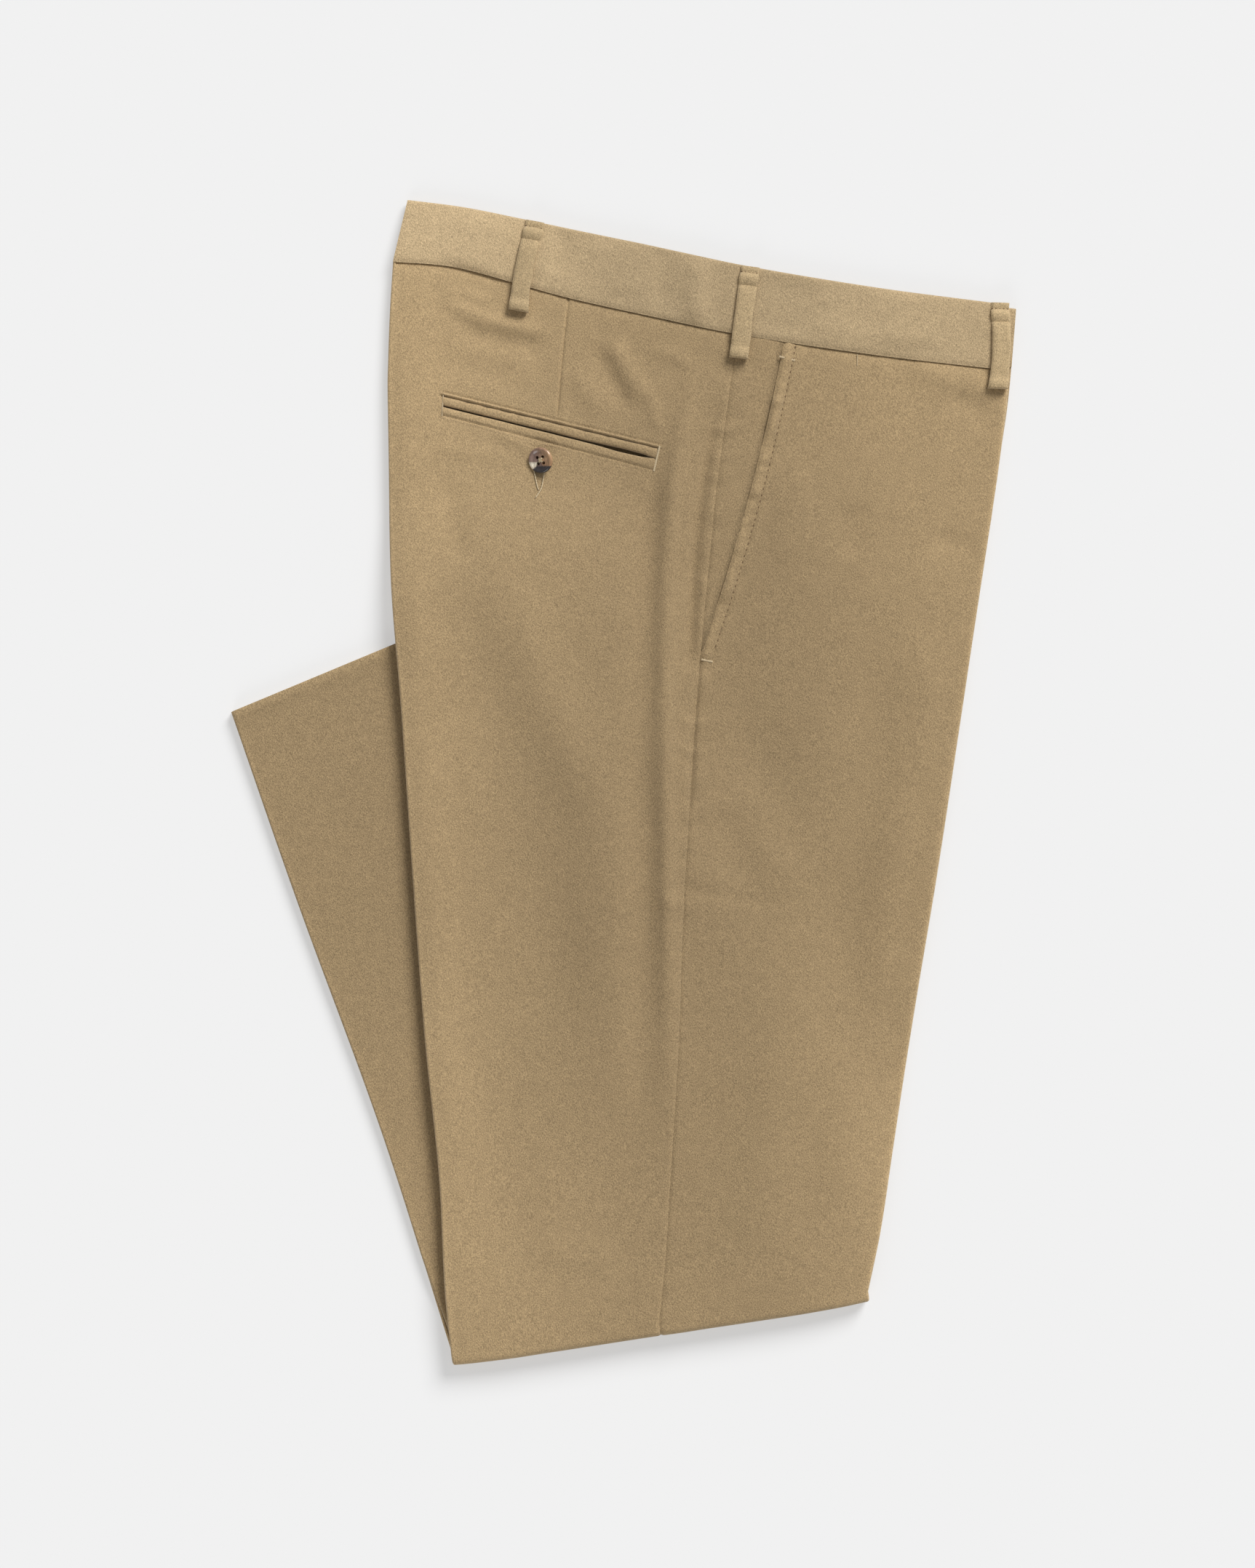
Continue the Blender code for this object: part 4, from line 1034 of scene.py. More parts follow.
LOOP_ACROSS = np.array([-0.5, -0.485, -0.46, -0.42, -0.36, -0.27, -0.18, -0.09])
LOOP_ACROSS = np.concatenate([LOOP_ACROSS, [0.0], -LOOP_ACROSS[::-1]])
LOOP_EDGE_DROP = 0.8              # its folded edges round down by this much
LOOP_PILLOW = 0.4                 # and its middle stands up by this
LOOP_RIPPLE, LOOP_RIPPLE_PITCH = 0.45, 8.0   # its edges wander
LOOP_BUMPS, LOOP_BUMP_SIZE = 0.18, 4.5
LOOP_TRIM = 0.9                   # narrower than its full width between knot and end
LOOP_TOP_SWELL, LOOP_END_SWELL = 0.5, 0.5


def belt_loops(cloth):
    """Three strips of doubled cloth over the waistband, each folded under at its end."""
    for seed, loop in enumerate(BELT_LOOPS):
        top, along, side, length = loop_frame(loop)
        path = loop_path(cloth, length)
        run = path[:, 0]
        ripple = LOOP_RIPPLE * gathers(run, LOOP_RIPPLE_PITCH, 51 + seed)
        swell = (LOOP_TOP_SWELL * np.exp(-((run - 4.0) / 3.5) ** 2)
                 + LOOP_END_SWELL * ease((run - length + 9.0) / 5.0))
        width = LOOP_WIDTH - LOOP_TRIM + ripple + swell
        offset = LOOP_ACROSS * width[:, None] + 0.3 * ripple[:, None]
        plan = loop_middle(loop, run)[:, None] + side * offset[..., None]
        centre = cloth.band_height(loop_middle(loop, run))
        edge = np.abs(2 * LOOP_ACROSS)
        pillow = LOOP_PILLOW * (1.0 - edge**2) - LOOP_EDGE_DROP * ease((edge - 0.74) / 0.26) ** 2
        outer = np.arange(len(path)) < len(path) - 6
        bumps = LOOP_BUMPS * uneven(plan, LOOP_BUMP_SIZE, 71 + seed)
        z = centre[:, None] + path[:, 1, None] + (pillow + bumps) * outer[:, None]
        bm = bmesh.new()
        grid_onto(bm, np.concatenate([plan, z[..., None]], axis=-1))
        bmesh.ops.reverse_faces(bm, faces=bm.faces)
        piece = finish_mesh(bm, f"{loop.name}_cloth", "loop_moleskin", [loop.name])
        add_wall(piece, LOOP_WALL, 0.45, 3)


WeltPoint = namedtuple("WeltPoint", "run depth")

# A welt's lip from deep in the slit up to its crown, by run from the slit.
WELT_ROUND = (WeltPoint(-0.2, 4.2), WeltPoint(-0.15, 2.8), WeltPoint(-0.05, 1.7),
              WeltPoint(0.0, 1.0), WeltPoint(0.12, 0.5), WeltPoint(0.4, 0.1),
              WeltPoint(0.85, -0.15), WeltPoint(1.5, -0.35))

# Each welt's other side, down into its seam with the back panel, by run from the seam.
WELT_SEAM = {
    "upper_welt": (WeltPoint(1.1, -0.1), WeltPoint(0.6, 0.15), WeltPoint(0.3, 0.5),
                   WeltPoint(-0.04, 0.95)),
    "lower_welt": (WeltPoint(1.0, -0.1), WeltPoint(0.5, 0.05), WeltPoint(0.2, 0.2),
                   WeltPoint(-0.04, 0.36)),
}
WELT_WALL = 0.5
WELT_CROWN = 0.4                  # height of its rounded top
WELT_LENGTH = 135.0
SLIT_WIDTH, SLIT_GAPE = 1.05, 1.5   # width of the slit, and by how much it gapes
GAPE_AT, GAPE_REACH = 0.86, 0.13  # where along it, as parts of its length


def pocket_welts(cloth):
    """Two rounded strips of cloth, with the back pocket's slit between them."""
    for name, edge, seed in (("upper_welt", MOUTH_UPPER, 61), ("lower_welt", MOUTH_LOWER, 62)):
        t = np.linspace(-0.004, 1.004, 90)[:, None]
        outer = np.array(edge[0]) * (1 - t) + np.array(edge[1]) * t
        slit = np.array(SLIT_LINE[0]) * (1 - t) + np.array(SLIT_LINE[1]) * t
        width = np.linalg.norm(outer - slit, axis=1, keepdims=True)
        unit = (outer - slit) / width
        opened = SLIT_WIDTH + SLIT_GAPE * np.exp(-((t - GAPE_AT) / GAPE_REACH) ** 2)
        gape = opened * ease((1.0 - t) / 0.07 + 0.15) / 2
        gape = gape + 0.1 * gathers(t * WELT_LENGTH, 11.0, seed)
        lines = [(gape + run, depth) for run, depth in WELT_ROUND]
        crown, seam = WELT_ROUND[-1], WELT_SEAM[name]
        span = width - gape - crown.run - seam[0].run
        lines += [(gape + crown.run + span * part, -WELT_CROWN - 0.1 * math.sin(math.pi * part))
                  for part in (0.3, 0.6, 0.9)]
        lines += [(width - run, depth) for run, depth in seam]
        bumps = 0.12 * gathers(t * WELT_LENGTH, 6.0, seed + 2)
        columns = []
        for run, depth in lines:
            plan = slit + unit * run
            z = cloth.height(plan)[:, None] - depth + bumps
            columns.append(np.concatenate([plan, z], axis=1))
        bm = bmesh.new()
        grid_onto(bm, np.stack(columns, axis=1))
        if name == "upper_welt":
            bmesh.ops.reverse_faces(bm, faces=bm.faces)
        piece = finish_mesh(bm, f"{name}_cloth", "tan_moleskin",
                            [f"back_pocket_{name}"])
        add_wall(piece, WELT_WALL, 0.1)


def surface_point(top, point):
    """A point of the cloth's outside over a plan point."""
    return Vector((*point, float(top(np.array([point]))[0])))


def add_stitch(bm, start, end, radius):
    """One short stitch from start to end."""
    run = end - start
    turn = run.to_track_quat("X", "Z").to_matrix().to_4x4()
    size = Matrix.Diagonal((run.length / 2, radius, radius, 1.0))
    place = Matrix.Scale(MM, 4) @ Matrix.Translation((start + end) / 2) @ turn @ size
    bmesh.ops.create_uvsphere(bm, u_segments=6, v_segments=5, radius=1.0, matrix=place)


Stitch = namedtuple("Stitch", "pitch length radius")

SLANT_STITCH = Stitch(4.0, 1.9, 0.4)
POCKET_STITCH = Stitch(2.6, 1.8, 0.26)
LOOP_STITCH = Stitch(2.4, 1.6, 0.36)


def stitch_row(bm, top, path, size, sink=0.0):
    """Stitches one after another along a plan line."""
    path = np.array(path)
    runs = np.concatenate([[0.0], np.cumsum(np.linalg.norm(np.diff(path, axis=0), axis=1))])

    def at(run):
        point = np.array([np.interp(run, runs, path[:, i]) for i in range(2)])
        return surface_point(top, point) - Vector((0.0, 0.0, sink))

    for run in np.arange(0.0, runs[-1] - size.length, size.pitch):
        add_stitch(bm, at(run), at(run + size.length), size.radius)


TACK_PITCH = 0.38                 # of a bar tack's crosswise stitches
TACK_RADIUS = 0.27
TACK_RISE = Vector((0.0, 0.0, 0.15))

BarTack = namedtuple("BarTack", "start end width")

FRONT_TACKS = (
    BarTack((98.4, 268.8), (108.2, 266.4), 1.7),
    BarTack((49.2, 77.3), (56.2, 75.9), 1.7),
    BarTack((147.7, 270.2), (147.4, 263.2), 0.5),
)
BACK_TACKS = (
    BarTack((-114.2, 244.6), (-115.0, 231.0), 1.0),
    BarTack((22.6, 212.2), (18.9, 196.6), 1.7),
)


def bar_tack(bm, top, tack):
    """Close crosswise stitches along a bar tack."""
    start, end, width = np.array(tack.start), np.array(tack.end), tack.width
    length = np.linalg.norm(end - start)
    along = (end - start) / length
    side = np.array([-along[1], along[0]]) * width / 2
    for i, run in enumerate(np.arange(0.0, length, TACK_PITCH)):
        centre = start + along * run
        lean = along * TACK_PITCH / 2 * (-1) ** i
        add_stitch(bm, surface_point(top, centre - side - lean) + TACK_RISE,
                   surface_point(top, centre + side + lean) + TACK_RISE, TACK_RADIUS)


TWIST_STEP = 1.9                  # turn of the thread's twist between two points


def add_strand(bm, path, radius, around=7, twist=0.0):
    """A round thread along a line of points."""
    path = [Vector(point) for point in path]
    rings = []
    for i, point in enumerate(path):
        run = path[min(i + 1, len(path) - 1)] - path[max(i - 1, 0)]
        frame_z = run.to_track_quat("X", "Z").to_matrix()
        thick = radius * (1.0 + twist * math.sin(i * TWIST_STEP))
        rings.append([point + frame_z @ Vector((0.0, thick * math.cos(a), thick * math.sin(a)))
                      for a in np.linspace(0.0, 2 * math.pi, around + 1)])
    start = set(bm.verts)
    grid_onto(bm, np.array(rings))
    made = [vert for vert in bm.verts if vert not in start]
    bmesh.ops.remove_doubles(bm, verts=made, dist=MERGE)
    made = {vert for vert in bm.verts if vert not in start}
    ends = [edge for edge in bm.edges if edge.is_boundary and edge.verts[0] in made]
    bmesh.ops.holes_fill(bm, edges=ends, sides=0)
    faces = {face for vert in made for face in vert.link_faces}
    bmesh.ops.recalc_face_normals(bm, faces=list(faces))


def finish_sewing(bm, name, material):
    """Make a bmesh of stitches or thread a piece of its own."""
    finish_mesh(bm, name, material)


def slant_line(inset, top, foot, steps=60):
    """Plan points along the slant pocket opening, set in from its edge."""
    y = np.linspace(top, foot, steps)
    return np.stack([slant_x(y) + inset * 1.03, y], axis=1)


def panel_sewing(cloth):
    """Topstitching and bar tacks of the slant pocket and the back pocket."""
    def front(points):
        distances = (points[..., 0] - slant_x(points[..., 1])) / SLANT_STRETCH
        return cloth.height(points) + cloth.front_lip(points) - slant_relief(points, distances)

    def smooth_front(points):
        return cloth.height(points) + cloth.front_lip(points)

    def border(points):
        return cloth.height(points) - mouth_relief(points)

    bm = bmesh.new()
    stitch_row(bm, front, slant_line(STITCH_INSET, 276.0, 82.0), SLANT_STITCH, -0.05)
    finish_sewing(bm, "panel_stitches", "seam_thread")

    bm = bmesh.new()
    for line, inset in ((MOUTH_UPPER, GROOVE_RUN), (MOUTH_LOWER, -BORDER_RUN)):
        start, end = np.array(line)
        run = (end - start) / np.linalg.norm(end - start)
        normal = np.array([-run[1], run[0]]) * inset
        stitch_row(bm, border, [start + normal, end + normal], POCKET_STITCH, 0.12)
    finish_sewing(bm, "pocket_stitches", "cloth_thread")

    bm = bmesh.new()
    for tack in FRONT_TACKS:
        bar_tack(bm, smooth_front, tack)
    for tack in BACK_TACKS:
        bar_tack(bm, cloth.height, tack)
    finish_sewing(bm, "bar_tacks", "tack_thread")


def loop_sewing(cloth):
    """Stitches that hold the tops of the belt loops."""
    bm = bmesh.new()
    for loop in BELT_LOOPS:
        top, along, side, _ = loop_frame(loop)

        def surface(points, top=top, along=along):
            run = (points - top) @ along
            rise = np.interp(run, *np.array(LOOP_RISE).T) + LOOP_WALL
            return cloth.band_height(top + along * run[:, None]) + rise

        for run, reach, rise in ((0.0, 0.47, 0.12), (LOOP_KNOT, 0.3, -0.02)):
            middle = loop_middle(loop, np.array([run]))[0]
            start, end = (middle + side * LOOP_WIDTH * reach * way for way in (-1, 1))
            stitch_row(bm, surface, [start, end], LOOP_STITCH, -rise)
    finish_sewing(bm, "loop_stitches", "seam_thread")


Shank = namedtuple("Shank", "foot head length")
SHANK = Shank(2.2, 3.9, 2.6)      # the wound thread under the button, dark as painted shade through the holes

THREAD_RADIUS, TAIL_RADIUS = 0.27, 0.38
BUTTON_TAILS = (
    ((-57.4, 199.8), (-56.2, 194.0), (-55.0, 188.0), (-53.9, 184.4)),
    ((-50.0, 196.6), (-51.1, 190.2), (-52.1, 185.6), (-53.6, 182.7), (-55.9, 179.3)),
)


def button_sewing(cloth):
    """Thread through the button's holes, its two loose ends and the shank under it."""
    place = button_place(cloth)
    half = bpy.context.scene.trouser_button.spacing / MM / 2
    bm = bmesh.new()
    for turn in (1, -1):
        for offset in (-0.2, 0.2):
            path = []
            for t in np.linspace(-0.74, 0.74, 17):
                rise = 2.28 + 0.12 * turn - 60.0 * max(abs(t) - 0.5, 0.0) ** 2
                local = Vector((half * t - offset * turn, half * turn * t + offset, rise))
                path.append(place @ (local * MM) / MM)
            add_strand(bm, path, THREAD_RADIUS)
    for path in BUTTON_TAILS:
        line = soft_path(path)
        line = np.stack([np.interp(np.linspace(0, 1, 34), np.linspace(0, 1, len(line)), line[:, i])
                         for i in range(2)], axis=1)
        z = cloth.height(line) + TAIL_RADIUS + 0.04
        z = z + 1.2 * np.linspace(1.0, 0.0, len(z)) ** 6
        add_strand(bm, np.column_stack([line, z]), TAIL_RADIUS, twist=0.3)
    finish_sewing(bm, "button_thread", "tack_thread")
    # The shank is in the dark seam thread, not the button's own thread, as painted shade seen
    # through its holes.
    bm = bmesh.new()
    shank = Matrix.Translation((0.0, 0.0, -SHANK.length * MM / 2))
    bmesh.ops.create_cone(bm, cap_ends=True, segments=20, radius1=SHANK.foot * MM,
                          radius2=SHANK.head * MM, depth=SHANK.length * MM, matrix=place @ shank)
    finish_sewing(bm, "button_shank", "seam_thread")


def apply_modifiers(piece):
    """Make what the modifiers give the piece's own mesh."""
    depsgraph = bpy.context.evaluated_depsgraph_get()
    mesh = bpy.data.meshes.new_from_object(piece.evaluated_get(depsgraph))
    piece.modifiers.clear()
    piece.data = mesh


BUTTON_TILT = (math.radians(10.0), math.radians(-24.0), math.radians(6.0))
BUTTON_LIFT = 2.9                 # its back stands this far over the cloth
BUTTON_RADIUS = 8.25              # of the profile
BUTTON_PROFILE = ((0.0, 0.0), (5.6, 0.0), (6.9, 0.12), (7.6, 0.45), (8.05, 0.95),
                  (8.25, 1.5), (8.2, 2.0), (7.95, 2.5), (7.5, 2.85), (7.0, 2.95), (6.5, 2.8),
                  (6.0, 2.45), (5.4, 2.15), (4.6, 2.0), (0.0, 1.95))


def button_place(cloth):
    """Matrix from the button's own frame, its back at the origin, to the trousers."""
    tilt_x, tilt_y, turn_z = BUTTON_TILT
    x, y = BUTTON_CENTRE
    seat = Vector((x, y, float(cloth.height(np.array([[x, y]]))[0]) + BUTTON_LIFT))
    return (Matrix.Translation(seat * MM) @ Matrix.Rotation(tilt_y, 4, "Y")
            @ Matrix.Rotation(tilt_x, 4, "X") @ Matrix.Rotation(turn_z, 4, "Z"))


def pocket_button(cloth):
    """A four-hole horn button with a rim and a dished face, tilted on its thread."""
    sizes = bpy.context.scene.trouser_button
    place = button_place(cloth)
    scale = sizes.radius / BUTTON_RADIUS
    bm = bmesh.new()
    points = [bm.verts.new(Vector((r, 0.0, z)) * scale) for r, z in BUTTON_PROFILE]
    edges = [bm.edges.new(pair) for pair in zip(points, points[1:])]
    bmesh.ops.spin(bm, geom=points + edges, cent=(0, 0, 0), axis=(0, 0, 1),
                   angle=2 * math.pi, steps=72, use_merge=True)
    bmesh.ops.remove_doubles(bm, verts=bm.verts, dist=MERGE)
    bmesh.ops.recalc_face_normals(bm, faces=bm.faces)
    bmesh.ops.transform(bm, matrix=place, verts=bm.verts)
    button = finish_mesh(bm, "horn_button", "polished_horn", ["back_pocket_button"])
    cutters = []
    for sx, sy in ((-1, -1), (1, -1), (1, 1), (-1, 1)):
        drill = bmesh.new()
        bmesh.ops.create_cone(drill, cap_ends=True, segments=24, radius1=sizes.hole,
                              radius2=sizes.hole, depth=8 * MM)
        offset = Vector((sx, sy, 0.0)) * (sizes.spacing / 2)
        bmesh.ops.transform(drill, matrix=place @ Matrix.Translation(offset), verts=drill.verts)
        mesh = bpy.data.meshes.new("drill")
        drill.to_mesh(mesh)
        drill.free()
        cutter = bpy.data.objects.new("drill", mesh)
        bpy.context.scene.collection.objects.link(cutter)
        cut = button.modifiers.new("hole", "BOOLEAN")
        cut.object = cutter
        cut.operation = "DIFFERENCE"
        cutters.append(cutter)
    apply_modifiers(button)
    for cutter in cutters:
        bpy.data.objects.remove(cutter)
    button.data.set_sharp_from_angle(angle=math.radians(50.0))
    edge = button.modifiers.new("worn edges", "BEVEL")
    edge.width = 0.12 * MM
    edge.segments = 2
    edge.profile = 0.5
    edge.limit_method = "ANGLE"
    edge.angle_limit = math.radians(60.0)


class Nodes:
    """Short way to make a material's nodes."""

    def __init__(self, material):
        material.use_nodes = True
        self.tree = material.node_tree
        self.shader = self.tree.nodes["Principled BSDF"]

    def add(self, kind, settings=None, **inputs):
        node = self.tree.nodes.new(kind)
        for name, value in (settings or {}).items():
            setattr(node, name, value)
        for name, value in inputs.items():
            self.join(value, node.inputs[name.replace("_", " ")])
        return node

    def join(self, value, socket):
        if isinstance(value, bpy.types.NodeSocket):
            self.tree.links.new(value, socket)
        else:
            socket.default_value = value

    def mix(self, kind, factor, a, b):
        node = self.add("ShaderNodeMix", {"data_type": "RGBA", "blend_type": kind})
        self.join(factor, node.inputs[0])
        self.join(a, node.inputs[6])
        self.join(b, node.inputs[7])
        return node.outputs[2]

    def ramp(self, factor, stops):
        node = self.add("ShaderNodeValToRGB", Fac=factor)
        elements = node.color_ramp.elements
        while len(elements) < len(stops):
            elements.new(0.5)
        for element, (position, colour) in zip(elements, stops):
            element.position = position
            element.color = (*colour, 1.0)
        return node.outputs["Color"]


def grey(value):
    """A colour without a hue."""
    return (value, value, value)


# Painted light and shade from the knee fold up to the waist: lighter by the fold, darker at mid
# thigh, lightest at the waist.
LEG_PAINTED_LIGHT = ((0.0, grey(1.09)), (0.2, grey(1.05)), (0.38, grey(0.97)), (0.62, grey(1.0)),
             (0.85, grey(1.12)), (1.0, grey(1.21)))


def moleskin(name, colour, back_painted_light, front_painted_light):
    """Brushed cotton: a short fine nap and a dry sheen, with painted light: lighter by the two
    gains at its back and front sides, lighter and darker along the legs, and lighter or darker as
    the mesh's attribute of wear and painted light says.
    """
    material = bpy.data.materials.new(name)
    nodes = Nodes(material)
    where = nodes.add("ShaderNodeTexCoord").outputs["Object"]
    slanted = nodes.add("ShaderNodeMapping", Vector=where)
    slanted.inputs["Rotation"].default_value = (0.0, 0.0, math.radians(38.0))
    slanted.inputs["Scale"].default_value = (1.0, 0.75, 1.0)
    nap = nodes.add("ShaderNodeTexNoise", Vector=slanted.outputs[0], Scale=1350.0, Detail=3.0,
                    Roughness=0.65, Distortion=0.2).outputs["Fac"]
    fibre = nodes.add("ShaderNodeTexNoise", Vector=where, Scale=4200.0, Detail=1.0).outputs[0]
    blotch = nodes.add("ShaderNodeTexNoise", Vector=where, Scale=170.0, Detail=3.0,
                       Roughness=0.55).outputs["Fac"]
    brushed = nodes.add("ShaderNodeTexNoise", Vector=where, Scale=11.0, Detail=2.0).outputs[0]
    tone = nodes.ramp(nap, ((0.3, grey(0.64)), (0.7, grey(1.37))))
    soft = nodes.ramp(blotch, ((0.3, grey(0.95)), (0.7, grey(1.05))))
    wide = nodes.ramp(brushed, ((0.3, grey(0.975)), (0.7, grey(1.025))))
    place = nodes.add("ShaderNodeSeparateXYZ", Vector=where)
    upwards = nodes.add("ShaderNodeMapRange", Value=place.outputs["Y"], From_Min=-0.34,
                        From_Max=0.34)
    forwards = nodes.add("ShaderNodeMapRange", Value=place.outputs["X"], From_Min=-0.15,
                         From_Max=0.25)
    painted_light_along_legs = nodes.ramp(upwards.outputs[0], LEG_PAINTED_LIGHT)
    # Painted light: lighter towards the back and the front side by the two gains.
    painted_side_light = nodes.ramp(forwards.outputs[0], (
        (0.0, grey(back_painted_light)), (0.1, grey(back_painted_light)), (0.4, grey(1.0)), (0.6, grey(1.0)),
        (0.82, grey(front_painted_light))))
    base = nodes.mix("MULTIPLY", 1.0, tone, (*colour, 1.0))
    for part in (soft, wide, painted_light_along_legs, painted_side_light):
        base = nodes.mix("MULTIPLY", 1.0, base, part)
    # Worn nap with painted highlight and painted shade, from the mesh's attribute.
    wear = nodes.add("ShaderNodeAttribute", {"attribute_name": "wear"}).outputs["Fac"]
    gain = nodes.add("ShaderNodeMath", {"operation": "ADD"})
    nodes.join(wear, gain.inputs[0])
    gain.inputs[1].default_value = 1.0
    base = nodes.mix("MULTIPLY", 1.0, base, gain.outputs[0])
    nodes.join(base, nodes.shader.inputs["Base Color"])
    height = nodes.add("ShaderNodeMath", {"operation": "MULTIPLY_ADD"})
    nodes.join(fibre, height.inputs[0])
    height.inputs[1].default_value = 0.4
    nodes.join(nap, height.inputs[2])
    bump = nodes.add("ShaderNodeBump", Height=height.outputs[0], Strength=1.0,
                     Distance=0.5 * MM)
    nodes.join(bump.outputs[0], nodes.shader.inputs["Normal"])
    nodes.shader.inputs["Roughness"].default_value = 0.95
    nodes.shader.inputs["Specular IOR Level"].default_value = 0.2
    nodes.shader.inputs["Sheen Weight"].default_value = 1.0
    nodes.shader.inputs["Sheen Roughness"].default_value = 0.35
    nodes.shader.inputs["Sheen Tint"].default_value = (0.95, 0.82, 0.62, 1.0)


HornZone = namedtuple("HornZone", "turn colour")

# Colours round the button, from its left side on, as parts of a turn; darkest towards its lower
# edge.
HORN_ZONES = (
    HornZone(0.00, (0.27, 0.19, 0.15)),
    HornZone(0.015, (0.56, 0.49, 0.38)),
    HornZone(0.06, (0.74, 0.67, 0.53)),
    HornZone(0.12, (0.60, 0.52, 0.40)),
    HornZone(0.15, (0.13, 0.085, 0.07)),
    HornZone(0.34, (0.17, 0.105, 0.08)),
    HornZone(0.42, (0.34, 0.19, 0.10)),
    HornZone(0.58, (0.46, 0.28, 0.15)),
    HornZone(0.70, (0.34, 0.205, 0.125)),
    HornZone(0.84, (0.21, 0.13, 0.10)),
    HornZone(0.96, (0.25, 0.165, 0.13)),
)
DARKER_BELOW = (0.032, 0.026, 0.027, 1.0)   # the button towards its lower edge


def horn(cloth):
    """Polished horn, streaked from cream over orange brown to dark brown, nearly black towards the
    button's lower edge.
    """
    material = bpy.data.materials.new("polished_horn")
    nodes = Nodes(material)
    where = nodes.add("ShaderNodeTexCoord").outputs["Object"]
    centre = button_place(cloth).to_translation()
    local = nodes.add("ShaderNodeMapping", {"vector_type": "POINT"}, Vector=where)
    local.inputs["Location"].default_value = -centre
    wander = nodes.add("ShaderNodeTexNoise", Vector=local.outputs[0], Scale=260.0, Detail=3.0,
                       Distortion=0.8)
    flow = nodes.add("ShaderNodeVectorMath", {"operation": "MULTIPLY_ADD"})
    nodes.join(wander.outputs["Color"], flow.inputs[0])
    flow.inputs[1].default_value = (2.4 * MM, 2.4 * MM, 0.0)
    nodes.join(local.outputs[0], flow.inputs[2])
    place = nodes.add("ShaderNodeSeparateXYZ", Vector=flow.outputs[0])
    angle = nodes.add("ShaderNodeMath", {"operation": "ARCTAN2"})
    nodes.join(place.outputs["Y"], angle.inputs[0])
    nodes.join(place.outputs["X"], angle.inputs[1])
    turn = nodes.add("ShaderNodeMapRange", Value=angle.outputs[0], From_Min=-math.pi,
                     From_Max=math.pi)
    colour = nodes.ramp(turn.outputs[0], HORN_ZONES)
    foot = nodes.add("ShaderNodeMapRange", {"interpolation_type": "SMOOTHSTEP"},
                     Value=place.outputs["Y"], From_Min=-2.2 * MM, From_Max=-3.3 * MM)
    clear = nodes.ramp(turn.outputs[0], ((0.12, grey(0.0)), (0.15, grey(1.0))))
    dark = nodes.mix("MULTIPLY", 1.0, clear, foot.outputs[0])
    colour = nodes.mix("MIX", dark, colour, DARKER_BELOW)
    streak = nodes.add("ShaderNodeMapping", Vector=local.outputs[0])
    streak.inputs["Rotation"].default_value = (0.0, 0.0, math.radians(-35.0))
    streak.inputs["Scale"].default_value = (1.0, 0.25, 1.0)
    grain = nodes.add("ShaderNodeTexNoise", Vector=streak.outputs[0], Scale=900.0, Detail=3.0)
    tone = nodes.ramp(grain.outputs["Fac"], ((0.35, grey(0.72)), (0.65, grey(1.2))))
    nodes.join(nodes.mix("MULTIPLY", 1.0, colour, tone), nodes.shader.inputs["Base Color"])
    nodes.shader.inputs["Roughness"].default_value = 0.28
    nodes.shader.inputs["Coat Weight"].default_value = 0.4
    nodes.shader.inputs["Coat Roughness"].default_value = 0.12


def plain(name, colour, roughness, mottled=0.12):
    """Sewing thread or floor: one colour with a faint mottle."""
    material = bpy.data.materials.new(name)
    nodes = Nodes(material)
    where = nodes.add("ShaderNodeTexCoord").outputs["Object"]
    mottle = nodes.add("ShaderNodeTexNoise", Vector=where, Scale=1500.0, Detail=1.0).outputs[0]
    tone = nodes.ramp(mottle, ((0.3, grey(1.0 - mottled)), (0.7, grey(1.0 + mottled))))
    nodes.join(nodes.mix("MULTIPLY", 1.0, tone, (*colour, 1.0)),
               nodes.shader.inputs["Base Color"])
    nodes.shader.inputs["Roughness"].default_value = roughness
    return material


# Painted light: the waistband and the loops are lighter, paler copies of the panels' moleskin.
BAND_PAINTED_LIGHT = (1.14, 1.19, 1.28)
LOOP_PAINTED_LIGHT = (1.24, 1.29, 1.35)


def ready_materials():
    """Make each finish the first time that it is needed."""
    if "tan_moleskin" in bpy.data.materials:
        return
    sizes = bpy.context.scene.trouser_cloth
    # Each copy of the moleskin gets painted light: gains at its back and front sides, and lighter,
    # paler copies for the band and loops.
    moleskin("tan_moleskin", tuple(sizes.colour), 1.27, 1.18)
    moleskin("leg_moleskin", tuple(sizes.colour), 1.08, 1.0)
    moleskin("band_moleskin", tuple(c * t for c, t in zip(sizes.colour, BAND_PAINTED_LIGHT)), 1.31, 1.16)
    moleskin("loop_moleskin", tuple(c * t for c, t in zip(sizes.colour, LOOP_PAINTED_LIGHT)), 0.96, 1.15)
    horn(FoldedCloth())
    plain("seam_thread", tuple(sizes.thread), 0.8)
    plain("cloth_thread", tuple(sizes.colour), 0.9)
    plain("tack_thread", tuple(sizes.tack), 0.7)


class TROUSERS_OT_panels(bpy.types.Operator):
    """Lay the right front and back panels and the slant pocket's facing"""

    bl_idname = "trousers.panels"
    bl_label = "Right leg panels"

    def execute(self, context):
        ready_materials()
        cloth = FoldedCloth()
        rows = leg_rows(cloth)
        right_back_panel(cloth, rows)
        right_front_panel(cloth, rows)
        pocket_facing(cloth, rows[rows.turn == 0.0])
        return {"FINISHED"}


class TROUSERS_OT_under_layers(bpy.types.Operator):
    """Lay the left lower leg and the layers hidden inside"""

    bl_idname = "trousers.under_layers"
    bl_label = "Left leg and hidden layers"

    def execute(self, context):
        ready_materials()
        cloth = FoldedCloth()
        rows = leg_rows(cloth)
        hidden_layers(cloth, rows)
        left_back_panel(cloth, rows[(rows.turn > UNDERNEATH) & (rows.to_fold >= BARE_FROM)])
        return {"FINISHED"}


